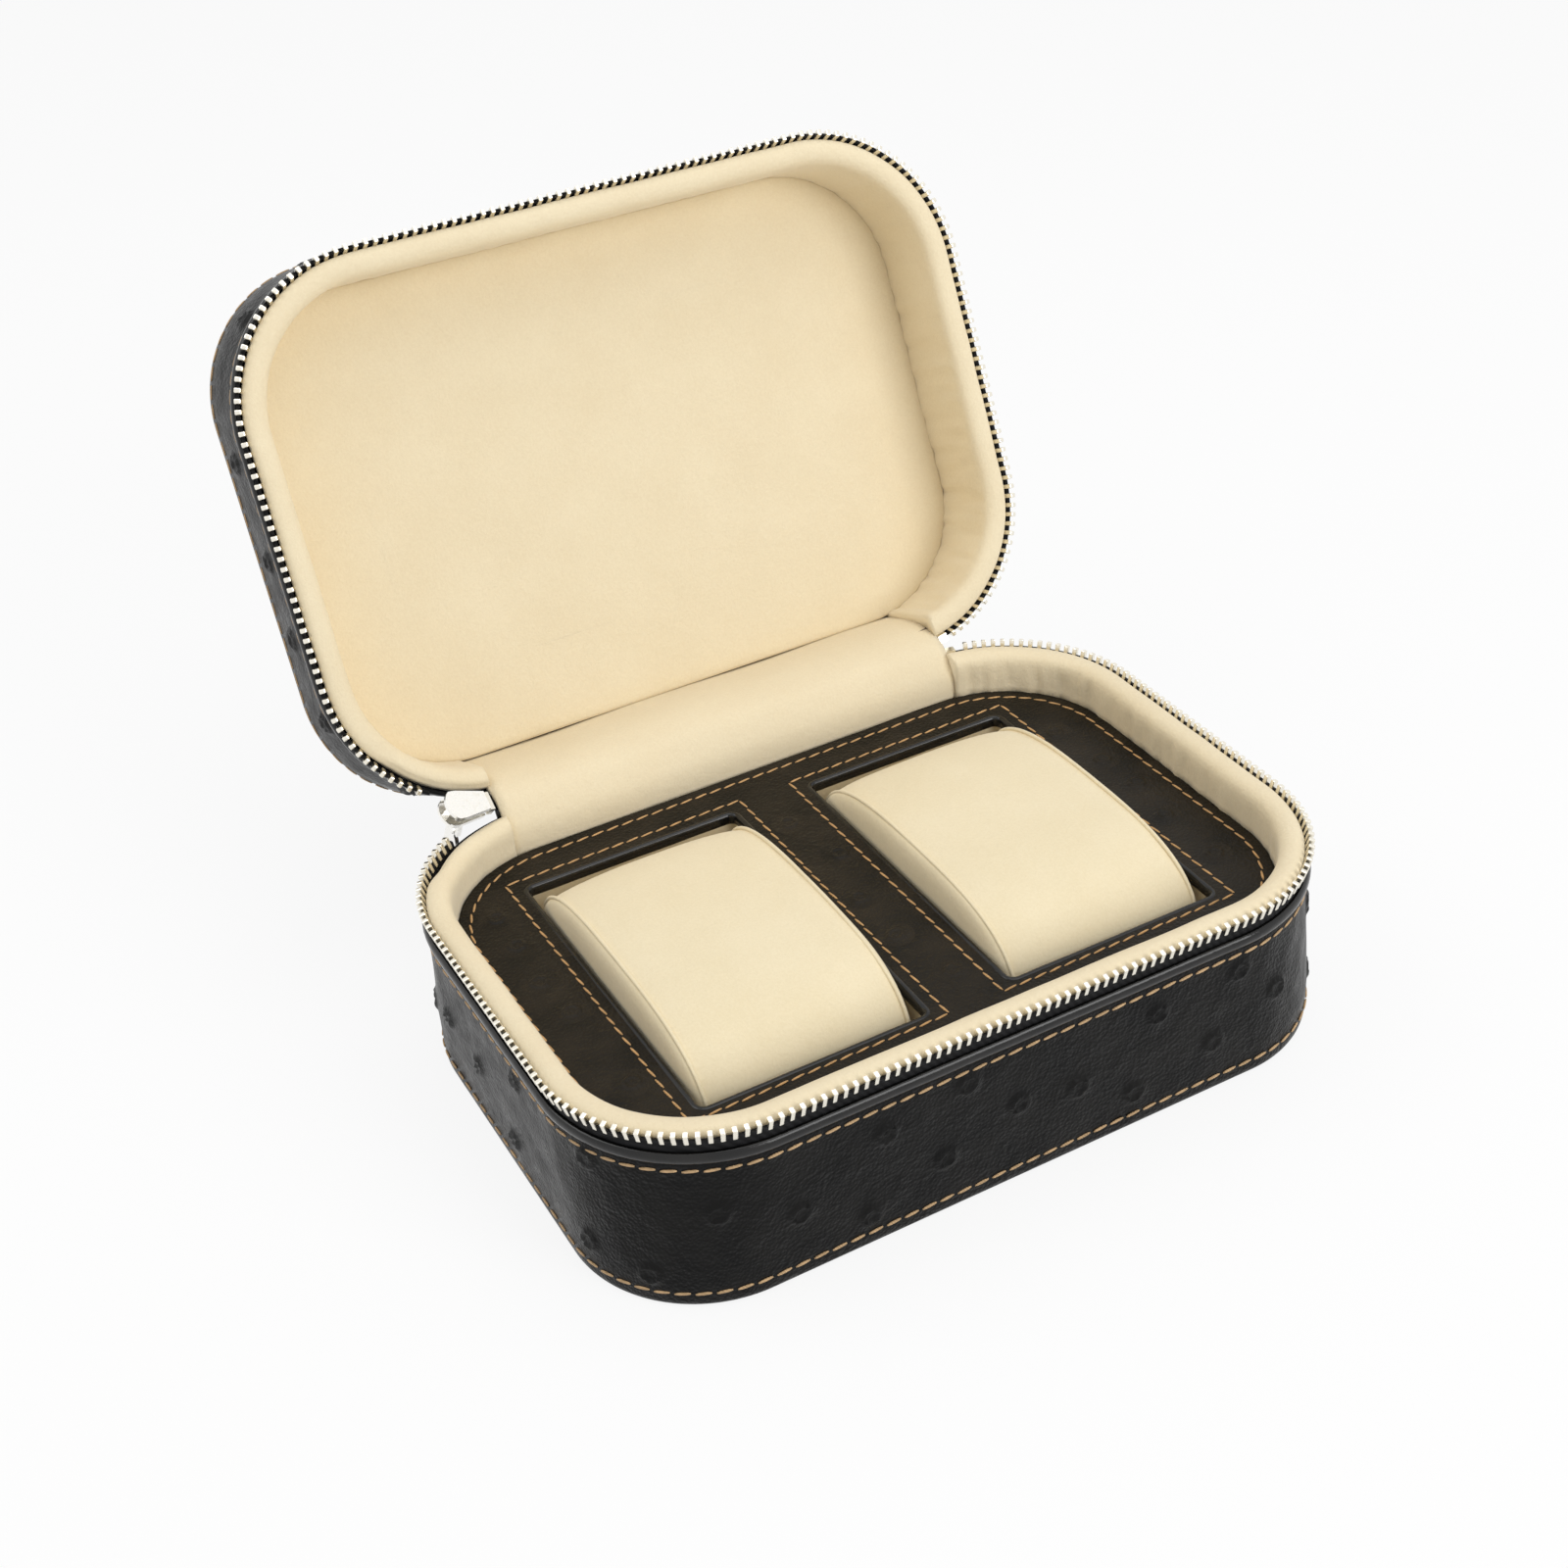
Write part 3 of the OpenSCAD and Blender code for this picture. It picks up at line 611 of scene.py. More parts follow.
def oval(middle: Spot, half_out: float, half_depth: float, sides: int, power: float = 1.0) -> Profile:
    """A closed profile round a middle; a power below 1 makes it squarer."""
    angles = [2 * math.pi * i / sides for i in range(sides)]
    return [(middle[0] + half_out * signed_power(math.cos(a), power),
             middle[1] + half_depth * signed_power(math.sin(a), power)) for a in angles]


def outline_loop(outline: Outline, spacing: float) -> BMesh:
    """A closed loop of points and edges round an outline, about spacing apart."""
    bm = bmesh.new()
    size = Matrix.Diagonal((outline.half_width, outline.half_depth, 1, 1))
    bmesh.ops.create_grid(bm, x_segments=1, y_segments=1, size=1.0, matrix=size)
    cells = max(MIN_CORNER_CELLS, round(math.pi / 2 * outline.corner / spacing))
    bmesh.ops.bevel(bm, geom=bm.verts[:], offset=outline.corner, segments=cells,
                    profile=0.5, affect="VERTICES", material=-1)
    for edge in [e for e in bm.edges if e.calc_length() > 2 * spacing]:
        cuts = round(edge.calc_length() / spacing) - 1
        bmesh.ops.subdivide_edges(bm, edges=[edge], cuts=cuts)
    bmesh.ops.delete(bm, geom=bm.faces[:], context="FACES_ONLY")
    return bm


def lay_surface(bm: BMesh, layer: bmesh.types.BMLayerItem, runs: dict[BMVert, float],
                rises: dict[BMVert, float], half_round: float) -> None:
    """Lays a swept shape's surface coordinates in metres; flat caps take X and Y instead.

    Args:
        bm: the shape.
        layer: the layer of surface coordinates.
        runs: each point's distance round the outline.
        rises: each point's distance along the profile.
        half_round: half of the distance round, by which a face across the back is known.
    """
    for face in bm.faces:
        found = [runs[loop.vert] for loop in face.loops]
        across = max(found) - min(found) > half_round
        for loop, run in zip(face.loops, found):
            if len(face.verts) > 4:
                loop[layer].uv = (loop.vert.co.x * MM + FLAT_SHIFT, loop.vert.co.y * MM)
            else:
                run += 2 * half_round if across and run < 0 else 0.0
                loop[layer].uv = (run * MM, rises[loop.vert] * MM)


def sweep(profile: Profile, closed: bool = True, cap: bool = False, spacing: float = 3.0,
          outline: Outline = SHAPE, square: Callable[[float], float] = lambda depth: 0.0) -> BMesh:
    """Sweeps a profile round an outline, and lays its surface coordinates.

    Args:
        profile: points of (out, depth) in millimetres.
        closed: whether the profile's last point joins its first.
        cap: whether the first and the last loop are filled flat.
        spacing: rough distance between points round the outline.
        outline: what it is swept round.
        square: gives how much smaller the corner radius is at a depth.

    Returns:
        The swept shape, in (x, y, depth) millimetres.
    """
    bm = outline_loop(outline, spacing)
    ring, edges = bm.verts[:], bm.edges[:]
    anchors = {v: (v.co.copy(), outline.outward(v.co.x, v.co.y)) for v in ring}
    rises, rings, total, last = {}, [], 0.0, profile[0]
    for out, depth in profile:
        if rings:
            ring, edges = extrude(bm, edges)
            anchors.update({v: anchors[source(v, rings[-1])] for v in ring})
        total += math.dist((out, depth), last)
        last = (out, depth)
        for v in ring:
            at, normal = anchors[v]
            rises[v] = total
            v.co = outline.squared(at, normal, square(depth)) + normal * out + UP * depth
        rings.append(set(ring))
    layer = bm.loops.layers.uv.new("surface")
    if closed:
        bmesh.ops.bridge_loops(bm, edges=edges_within(bm, rings[0]) + edges)
    if cap:
        for group in (rings[0], rings[-1]):
            bmesh.ops.edgeloop_fill(bm, edges=edges_within(bm, group))
    runs = {v: outline.along(at.x, at.y) for v, (at, _) in anchors.items()}
    lay_surface(bm, layer, runs, rises, outline.half_round)
    return bm


def cut_back(bm: BMesh, half_gap: float) -> None:
    """Cuts a gap in the back of a swept shape, from -half_gap to half_gap, and closes its ends."""
    for sign in (-1, 1):
        back = [f for f in bm.faces if f.calc_center_median().y > 0]
        geom = back + list({e for f in back for e in f.edges}) + list({v for f in back for v in f.verts})
        bmesh.ops.bisect_plane(bm, geom=geom, plane_co=(sign * half_gap, 0, 0), plane_no=(1, 0, 0))
    middles = {f: f.calc_center_median() for f in bm.faces}
    gone = [f for f, middle in middles.items() if middle.y > 0 and abs(middle.x) < half_gap]
    bmesh.ops.delete(bm, geom=gone, context="FACES")
    bmesh.ops.holes_fill(bm, edges=[e for e in bm.edges if len(e.link_faces) == 1])


def ruffle(bm: BMesh, depth: float, scale: float,
           only: Callable[[Vector], float] = lambda at: 1.0) -> None:
    """Moves points in and out along their normals by a smooth noise, for cloth that isn't even.

    Args:
        bm: the shape, in millimetres.
        depth: largest move, in millimetres.
        scale: size of the waves, in millimetres.
        only: gives a weight from 0 to 1 for a point.
    """
    bm.normal_update()
    for v in bm.verts:
        v.co += v.normal * noise.noise(v.co / scale) * depth * only(v.co)


def ribbon(points: Profile, thickness: float, low_x: float, high_x: float, steps: int) -> BMesh:
    """A strip with the given cross-section in Y and Z, drawn along X.

    Args:
        points: the cross-section's middle line, as (y, z) in millimetres.
        thickness: the strip's thickness.
        low_x: where it starts.
        high_x: where it ends.
        steps: how many cells it has along X.

    Returns:
        The strip, in millimetres in the row frame.
    """
    bm = bmesh.new()
    verts = [bm.verts.new((low_x, y, z)) for y, z in points]
    edges = [bm.edges.new(pair) for pair in zip(verts, verts[1:])]
    for _ in range(steps):
        verts, edges = extrude(bm, edges)
        bmesh.ops.translate(bm, verts=verts, vec=((high_x - low_x) / steps, 0, 0))
    bmesh.ops.recalc_face_normals(bm, faces=bm.faces)
    bmesh.ops.solidify(bm, geom=bm.faces[:], thickness=thickness)
    return bm


def lid_point(y: float, depth: float) -> Spot:
    """Where a point of the shut lid stands when the lid is open, as (y, z) in millimetres."""
    place = SHAPE.placement(Half.LID) @ Vector((0, y, depth))
    return place.y / MM, place.z / MM


def smooth_path(points: Profile, rounds: int = 2) -> Profile:
    """Rounds a polyline's corners by cutting them, and keeps its ends."""
    path = list(points)
    for _ in range(rounds):
        cut = [path[0]]
        for (ay, az), (by, bz) in zip(path, path[1:]):
            cut += [(far * ay + near * by, far * az + near * bz)
                    for far, near in ((0.75, 0.25), (0.25, 0.75))]
        path = cut + [path[-1]]
    return path


def copy_node(node: str) -> BMesh:
    """A merged copy of a CAD node's mesh, with its flat faces joined, in metres."""
    bm = bmesh.new()
    bm.from_mesh(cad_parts[node].data)
    bmesh.ops.remove_doubles(bm, verts=bm.verts, dist=TINY)
    bmesh.ops.dissolve_limit(bm, angle_limit=math.radians(1.0), verts=bm.verts, edges=bm.edges)
    return bm


# ---------------------------------------------------------- sub-assemblies


@dataclass(frozen=True)
class Quills:
    """Raised rings with a sunken middle, pressed into the leather of the walls."""

    ring: float = 2.1
    ring_width: float = 0.55
    height: float = 0.66
    swell: float = 0.16
    reach: float = 6.5
    pitch: float = 19.0
    seed: int = 7

    rows: Spot = (0.28, 0.78)
    jitter: float = 6.0
    row_jitter: float = 0.2
    crowding: float = 0.78
    patch_rings: int = 18
    patch_sectors: int = 28
    # Waves of a wall: height, length round, length in depth and where the noise is read.
    waves: Sequence[Color] = ((0.10, 5.0, 9.0, 1.0), (0.16, 19.0, 13.0, 5.0))

    def rise(self, distance: float) -> float:
        """How far the leather stands out at a distance from a quill's middle."""
        rim = math.exp(-((distance - self.ring) / self.ring_width) ** 2)
        nub = 0.55 * math.exp(-(distance / (0.8 * self.ring_width)) ** 2)
        return self.height * (rim + nub) + self.swell * math.exp(-(distance / (1.7 * self.ring)) ** 2)

    def scatter(self, low: float, high: float, chosen: Profile) -> Profile:
        """Chosen quills, and others scattered round the rest of the wall.

        Args:
            low: smallest depth.
            high: greatest depth.
            chosen: the chosen quills, as (distance round, depth).

        Returns:
            All quills.
        """
        dice = random.Random(self.seed)
        found = list(chosen)
        tall = high - low
        run = -SHAPE.half_round
        while run < SHAPE.half_round:
            for depth in [low + row * tall for row in self.rows]:
                at = (run + dice.uniform(-self.jitter, self.jitter),
                      depth + dice.uniform(-self.row_jitter, self.row_jitter) * tall)
                if all(math.dist(at, quill) > self.crowding * self.pitch for quill in found):
                    found.append(at)
            run += self.pitch
        return found

    def patches(self, places: Profile, level: float, proud: float = 0.012, edge: float = 1.5) -> BMesh:
        """Round patches of leather that each carry a quill, for a flat face.

        Args:
            places: the quills, as (x, y) in millimetres.
            level: the flat face's height.
            proud: how far the patches' rims stand above it.
            edge: over what distance a patch runs out at its rim.

        Returns:
            All patches.
        """
        bm = bmesh.new()
        for x, y in places:
            start = len(bm.verts)
            circle = bmesh.ops.create_circle(bm, segments=self.patch_sectors, radius=self.reach)
            loop = edges_within(bm, set(circle["verts"]))
            for left in range(self.patch_rings - 1, 0, -1):
                fresh, loop = extrude(bm, loop)
                share = left / (left + 1)
                bmesh.ops.scale(bm, verts=fresh, vec=(share, share, 1.0))
            bmesh.ops.edgeloop_fill(bm, edges=loop)
            bm.verts.ensure_lookup_table()
            for v in bm.verts[start:]:
                distance = v.co.xy.length
                uneven = 1.0 + 0.35 * noise.noise(Vector((v.co.x / 1.6 + x, v.co.y / 1.6 + y, 2.0)))
                fade = min(1.0, (self.reach - distance) / edge)
                v.co.z = level + proud + self.rise(distance) * uneven * fade
                v.co.x += x
                v.co.y += y
        layer = bm.loops.layers.uv.new("surface")
        for face in bm.faces:
            for loop in face.loops:
                loop[layer].uv = (loop.vert.co.x * MM + TRAY_SHIFT, loop.vert.co.y * MM)
        return bm

    def press(self, bm: BMesh, quills: Profile, low: float, high: float, edge: float = 2.0) -> None:
        """Presses quills and waves into a swept wall.

        Args:
            bm: the wall.
            quills: the quills, as (distance round, depth).
            low: the depth where the pressed part starts.
            high: the depth where it ends.
            edge: over what depth it fades in and out.
        """
        near: dict[int, list[Spot]] = {}
        for run, depth in quills:
            for cell in (-1, 0, 1):
                near.setdefault(int(run // self.reach) + cell, []).append((run, depth))
        for v in bm.verts:
            if not low < v.co.z < high:
                continue
            run = SHAPE.along(v.co.x, v.co.y)
            found = near.get(int(run // self.reach), [])
            rise = sum(self.rise(math.dist((run, v.co.z), quill)) for quill in found)
            rise += sum(tall * noise.noise(Vector((run / wide, v.co.z / deep, at)))
                        for tall, wide, deep, at in self.waves)
            fade = min(1.0, (v.co.z - low) / edge, (high - v.co.z) / edge)
            v.co += SHAPE.outward(v.co.x, v.co.y) * rise * fade


@dataclass
class StitchRows:
    """Rows of tan saddle stitches, all alike."""

    pitch: float = 4.6
    length: float = 3.6
    width: float = 0.85
    height: float = 0.55
    slant: float = 5.0
    plumpness: float = 1.25

    def stitch(self) -> bpy.types.Mesh:
        """One stitch: a short, plump grain of thread along X, standing on the XY plane."""
        bm = bmesh.new()
        bmesh.ops.create_uvsphere(bm, u_segments=8, v_segments=6, radius=0.5,
                                  matrix=Matrix.Rotation(math.pi / 2, 4, "Y"))
        for v in bm.verts:
            v.co.x = clamp(v.co.x * self.plumpness, -0.5, 0.5)
        bmesh.ops.scale(bm, verts=bm.verts, vec=(self.length, self.width, self.height))
        return mesh_of("stitch", bm)

    def row(self, name: str, places: Seam, material: bpy.types.Material,
            matrix: Matrix = TO_METRES) -> bpy.types.Object:
        """Lays a stitch at each place.

        Args:
            name: the piece's name.
            places: (place, direction along the row, direction out of the leather) of each stitch.
            material: the thread.
            matrix: from these millimetres to the row frame.

        Returns:
            One object with all the stitches of the row.
        """
        slant = Matrix.Rotation(math.radians(self.slant), 4, "Z")
        stands = []
        for place, along, out in places:
            x, z = along.normalized(), out.normalized()
            turn = Matrix((x, z.cross(x).normalized(), z)).transposed().to_4x4()
            stands.append(Matrix.Translation(place) @ (turn @ slant))
        return add_piece(name, repeat(self.stitch(), stands), material, matrix)

    def round_outline(self, out: float, depth: float, proud: Vector | None = None,
                      square: float = 0.0) -> Seam:
        """Places along the case outline.

        Args:
            out: distance out from the side leather.
            depth: distance from the line where the halves meet, or height in the row frame.
            proud: which way the stitches stand out, if not out of the wall.
            square: how much smaller the corner radius is there.

        Returns:
            The places, in order round the case.
        """
        bm = outline_loop(SHAPE, 1.0)
        here = min(bm.verts, key=lambda v: (v.co.y, abs(v.co.x)))
        edge = here.link_edges[0]
        points = []
        for _ in range(len(bm.verts) + 1):
            normal = SHAPE.outward(here.co.x, here.co.y)
            points.append(SHAPE.squared(here.co, normal, square) + normal * out)
            here = edge.other_vert(here)
            edge = next(e for e in here.link_edges if e is not edge)
        bm.free()
        total = sum((b - a).length for a, b in zip(points, points[1:]))
        pitch = total / round(total / self.pitch)
        travelled, target = 0.0, pitch / 2
        places = []
        for a, b in zip(points, points[1:]):
            span = (b - a).length
            while span > 0 and target <= travelled + span:
                at = a.lerp(b, (target - travelled) / span)
                places.append((Vector((at.x, at.y, depth)), b - a, proud or (b - a).cross(UP)))
                target += pitch
            travelled += span
        return places

    def round_rectangle(self, low: Spot, high: Spot, level: float) -> Seam:
        """Places along the four sides of a rectangle that lies flat at a height."""
        corners = [Vector((x, y, level)) for x, y in (low, (high[0], low[1]), high, (low[0], high[1]))]
        places = []
        for a, b in zip(corners, corners[1:] + corners[:1]):
            count = round((b - a).length / self.pitch)
            places += [(a.lerp(b, (i + 0.5) / count), b - a, UP) for i in range(count)]
        return places


@dataclass
class Shell:
    """The outer leather, rolled binding, zip tape and padded wall lining of one half."""

    half: Half
    height: float
    panel: str
    lining_foot: float
    seed: int
    bulge: float = 0.0
    outer_seam_out: float = 0.0
    quills: Profile = ()
    upper_seam: Spot = (0.05, 11.3)
    outer_seam_in: float = 4.2
    stitches: StitchRows = field(default_factory=StitchRows)

    # Turned upper edge of the side leather, as (out, depth).
    UPPER_EDGE: ClassVar[Profile] = ((-1.4, 9.6), (-0.7, 9.1), (-0.2, 9.15), (0.0, 9.6))
    # Rounding into the outer panel, as distances in from the wall and up from the panel.
    OUTER_EDGE: ClassVar[Profile] = ((0.03, 2.0), (0.09, 1.4), (0.22, 0.9), (0.45, 0.45),
                                     (0.8, 0.17), (1.3, 0.0))
    # The lining's plump rim, from the board over the top and down the inside, as (out, depth).
    LINING_RIM: ClassVar[Profile] = (
        (-1.2, 5.0), (-0.85, 3.3), (-0.95, 2.2), (-1.4, 1.45), (-2.2, 1.0), (-3.2, 0.85), (-4.3, 0.95),
        (-5.3, 1.25), (-6.2, 1.9), (-6.75, 2.8), (-7.0, 4.1), (-7.05, 6.0), (-6.95, 8.3))

    def build(self) -> None:
        """Makes and dresses all pieces of this half."""
        name, place = self.half.value, SHAPE.placement(self.half)
        self.leather(name, place)
        self.binding(name, place)
        self.lining(name, place)
        self.sewing(name, place)
        dress(TAPE_CLOTH, f"{name}_zip_tape")
        dress(BOARD, f"{name}_board")

    def leather(self, name: str, place: Matrix) -> None:
        """The grained side leather, which turns under at the outer edge into the flat panel."""
        top, step, lean = 10.4, 0.85, 0.12
        tall = self.height - 2.6 - top
        count = round(tall / step)
        profile = [(-1.4, self.height - 1.6), *self.UPPER_EDGE]
        for share in [i / count for i in range(count + 1)]:
            swell = self.bulge * math.sin(math.pi * min(1.0, share * 0.7))
            profile.append((swell - lean * share, top + tall * share))
        last = profile[-1][0]
        profile += [(last - inward, self.height - up) for inward, up in self.OUTER_EDGE]
        bm = sweep(profile, closed=False, cap=True, spacing=0.9,
                   square=lambda depth: SHAPE.panel_square(depth, self.height))
        stamp = Quills(seed=self.seed)
        quills = stamp.scatter(13.0, self.height - 7.0, self.quills)
        stamp.press(bm, quills, 9.7, self.height - 2.4)
        piece = add_piece(f"{name}_leather_shell", bm, WALL_LEATHER, place)
        settle(piece, name, "leather_black", f"{name}_side_leather", self.panel)

    def binding(self, name: str, place: Matrix) -> None:
        """The rolled binding between the tape and the side leather."""
        bm = sweep(oval((-0.05, 7.75), 0.95, 1.6, sides=14))
        ruffle(bm, 0.1, 12.0)
        for v in bm.verts:
            aside = 0.6 * UP - 0.25 * SHAPE.outward(v.co.x, v.co.y)
            v.co += aside * SHAPE.near_slider(v.co)
        piece = add_piece(f"{name}_rolled_binding", bm, EDGE_LEATHER, place)
        settle(piece, name, "leather_trim", f"{name}_binding")

    def lining(self, name: str, place: Matrix) -> None:
        """The padded wall lining with its plump rim and soft gathers."""
        wall, back, gathers, sag = -6.95, -3.5, 3.0, 0.16
        profile = list(self.LINING_RIM)
        deep = 10.5
        while deep < self.lining_foot - 1:
            profile.append((wall, deep))
            deep += 2.5
        profile += [(-7.0, self.lining_foot), (back, self.lining_foot), (back, 5.4)]
        bm = sweep(profile, spacing=1.2)
        bm.normal_update()
        outer_side = {v for v in bm.verts if SHAPE.inset(v.co) < 3.0}
        for v in bm.verts:
            run = SHAPE.along(v.co.x, v.co.y)
            # Gathers are strongest round the far right corner, and fade out towards the rim.
            strong = 0.25 + 0.75 * clamp((v.co.x + v.co.y - 40.0) / 50.0)
            below_rim = clamp((v.co.z - 3.0) / 4.0)
            wave = noise.noise(Vector((run / gathers, v.co.z / 22.0, 3.0))) * strong * below_rim
            v.co += v.normal * (wave + noise.noise(v.co / 11.0) * sag)
            # Beside the slider the rim sits lower and further in.
            aside = SHAPE.near_slider(v.co) * clamp((5.2 - v.co.z) / 2.0)
            v.co.z += 1.25 * aside
            if v in outer_side:
                v.co -= SHAPE.outward(v.co.x, v.co.y) * 0.95 * aside
        cut_back(bm, SHAPE.flap_half)
        piece = add_piece(f"{name}_padded_wall", bm, LINING_CLOTH, place)
        settle(piece, name, "lining_cream", f"{name}_wall_lining")

    def sewing(self, name: str, place: Matrix) -> None:
        """Two rows of stitches: one under the binding, one beside the outer edge."""
        rows = {"upper": self.upper_seam,
                "outer": (self.outer_seam_out, self.height - self.outer_seam_in)}
        for label, (out, depth) in rows.items():
            square = SHAPE.panel_square(depth, self.height)
            places = self.stitches.round_outline(out, depth, square=square)
            piece = self.stitches.row(f"{name}_{label}_stitches", places, PALE_THREAD, place)
            settle(piece, name, "leather_black")


@dataclass
class ZipTeeth:
    """One row of metal teeth round the front and sides."""

    half: Half
    start: float
    pitch: float = 2.54
    left_x: float = 82.0
    right_x: float = 70.2
    set_in: float = 0.25
    tape_thick: float = 1.0
    tooth: tuple[float, float, float] = (1.6, 1.2, 3.2)
    foot: float = 3.4
    clear: float = 0.25

    def one(self) -> bpy.types.Mesh:
        """A single tooth: a bar across the tape with rounded edges."""
        bm = bmesh.new()
        bmesh.ops.create_cube(bm, size=1.0, matrix=Matrix.Diagonal((*self.tooth, 1.0)))
        bmesh.ops.bevel(bm, geom=bm.edges[:], offset=0.26, segments=2, profile=0.5,
                        affect="EDGES", material=-1)
        return mesh_of("tooth", bm)

    def place(self, run: float, radius: float) -> tuple[float, float, float]:
        """Where a tooth stands.

        Args:
            run: distance round the zip line from the middle of the front, negative to the left.
            radius: corner radius of the zip line.

        Returns:
            (x, y, angle of the outward direction in radians).
        """
        beyond = abs(run) - SHAPE.corner_x
        if beyond < 0:
            return run, -SHAPE.corner_y - radius, -math.pi / 2
        up_side = beyond - radius * math.pi / 2
        if up_side < 0:
            turn, middle = beyond / radius - math.pi / 2, -SHAPE.corner_y
        elif up_side < 2 * SHAPE.corner_y:
            turn, middle = 0.0, up_side - SHAPE.corner_y
        else:
            turn, middle = (up_side - 2 * SHAPE.corner_y) / radius, SHAPE.corner_y
        x, y = SHAPE.corner_x + radius * math.cos(turn), middle + radius * math.sin(turn)
        return (x, y, turn) if run > 0 else (-x, y, math.pi - turn)

    def places(self) -> list[tuple[float, float, float]]:
        """Place and facing of each tooth, from the left end of the row to the right."""
        lean = math.tan(math.radians(SHAPE.tape_lean))
        radius = (SHAPE.corner - self.tape_thick - self.set_in
                  + (SHAPE.binding_rim - self.foot / 2) * lean)
        to_corner = SHAPE.corner_x + radius * math.pi / 2 + 2 * SHAPE.corner_y
        low, high = (to_corner + radius * math.acos((x - SHAPE.corner_x) / radius)
                     for x in (self.left_x, self.right_x))
        found, run = [], -low + self.start * self.pitch
        while run <= high + TINY:
            found.append(self.place(run, radius))
            run += self.pitch
        return found

    def build(self) -> None:
        """Makes the row as one object."""
        name = self.half.value
        lean = Matrix.Rotation(-math.radians(SHAPE.tape_lean), 4, "Y")
        middle = self.clear + self.tooth[2] / 2
        stands = [Matrix.Translation((x, y, middle)) @ Matrix.Rotation(turn, 4, "Z") @ lean
                  for x, y, turn in self.places()]
        piece = add_piece(f"{name}_metal_teeth", repeat(self.one(), stands), ZIP_METAL,
                          SHAPE.placement(self.half), smooth=False)
        settle(piece, name, "polished_metal", f"{name}_zip_teeth")
        dress(ZIP_METAL, f"{name}_zip_stop")


@dataclass
class Hinge:
    """The leather spine and the cream lining that cross from the base to the lid."""

    spine_thick: float = 0.8
    spine_ends: Spot = (-66.0, 64.6)
    lining_thick: float = 1.6
    lining_ends: Spot = (-65.4, 65.4)

    # Middle lines as (y, z) on the base, and then as (y, depth) on the shut lid.
    SPINE_BASE: ClassVar[Profile] = ((67.5, 36), (67.5, 43.5), (70.3, 49.4))
    SPINE_LID: ClassVar[Profile] = ((67.5, 6.5), (67.5, 14))
    LINING_BASE: ClassVar[Profile] = ((62.3, 37.0), (62.3, 41.0), (63.4, 45.0), (67.3, 50.0))
    LINING_LID: ClassVar[Profile] = ((67.5, 0.4), (64.9, 5.0), (63.4, 10.0), (62.6, 17.0), (62.2, 28.0))

    def build(self) -> None:
        """Makes both strips, shaped to cross from the base to the open lid."""
        path = smooth_path([*self.SPINE_BASE, *(lid_point(*at) for at in self.SPINE_LID)])
        spine = add_piece("leather_spine", ribbon(path, self.spine_thick, *self.spine_ends, 30),
                          EDGE_LEATHER)
        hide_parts("hinge_spine")
        path = smooth_path([*self.LINING_BASE, *(lid_point(*at) for at in self.LINING_LID)], 3)
        bm = ribbon(path, self.lining_thick, *self.lining_ends, 52)
        ruffle(bm, 0.5, 26.0)
        lining = add_piece("hinge_lining_strip", bm, LINING_CLOTH)
        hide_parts("hinge_lining")
        for strip in (spine, lining):
            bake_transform(strip)


@dataclass
class CeilingPad:
    """The padded cream panel on the lid's ceiling."""

    top: float = SHAPE.lid_height - 3.6

    # From the pad's back over its edge to its crown, as (out, distance below the back).
    EDGE: ClassVar[Profile] = (
        (-8.5, 0.0), (-7.0, 0.0), (-6.6, 0.7), (-6.6, 1.9), (-7.3, 2.15), (-8.5, 2.4), (-10, 2.6),
        (-13, 2.95), (-18, 3.2), (-24, 3.45), (-29.5, 3.6))

    def build(self) -> None:
        """Makes the pad with a soft, rounded edge and a crowned face."""
        bm = sweep([(out, self.top - below) for out, below in self.EDGE], closed=False, cap=True)
        ruffle(bm, 0.4, 30.0, lambda at: 1.0 if at.z < self.top - 2.2 else 0.0)
        piece = add_piece("lid_ceiling_cushion", bm, LINING_CLOTH, SHAPE.placement(Half.LID))
        settle(piece, "lid", "lining_cream", "lid_ceiling_pad")


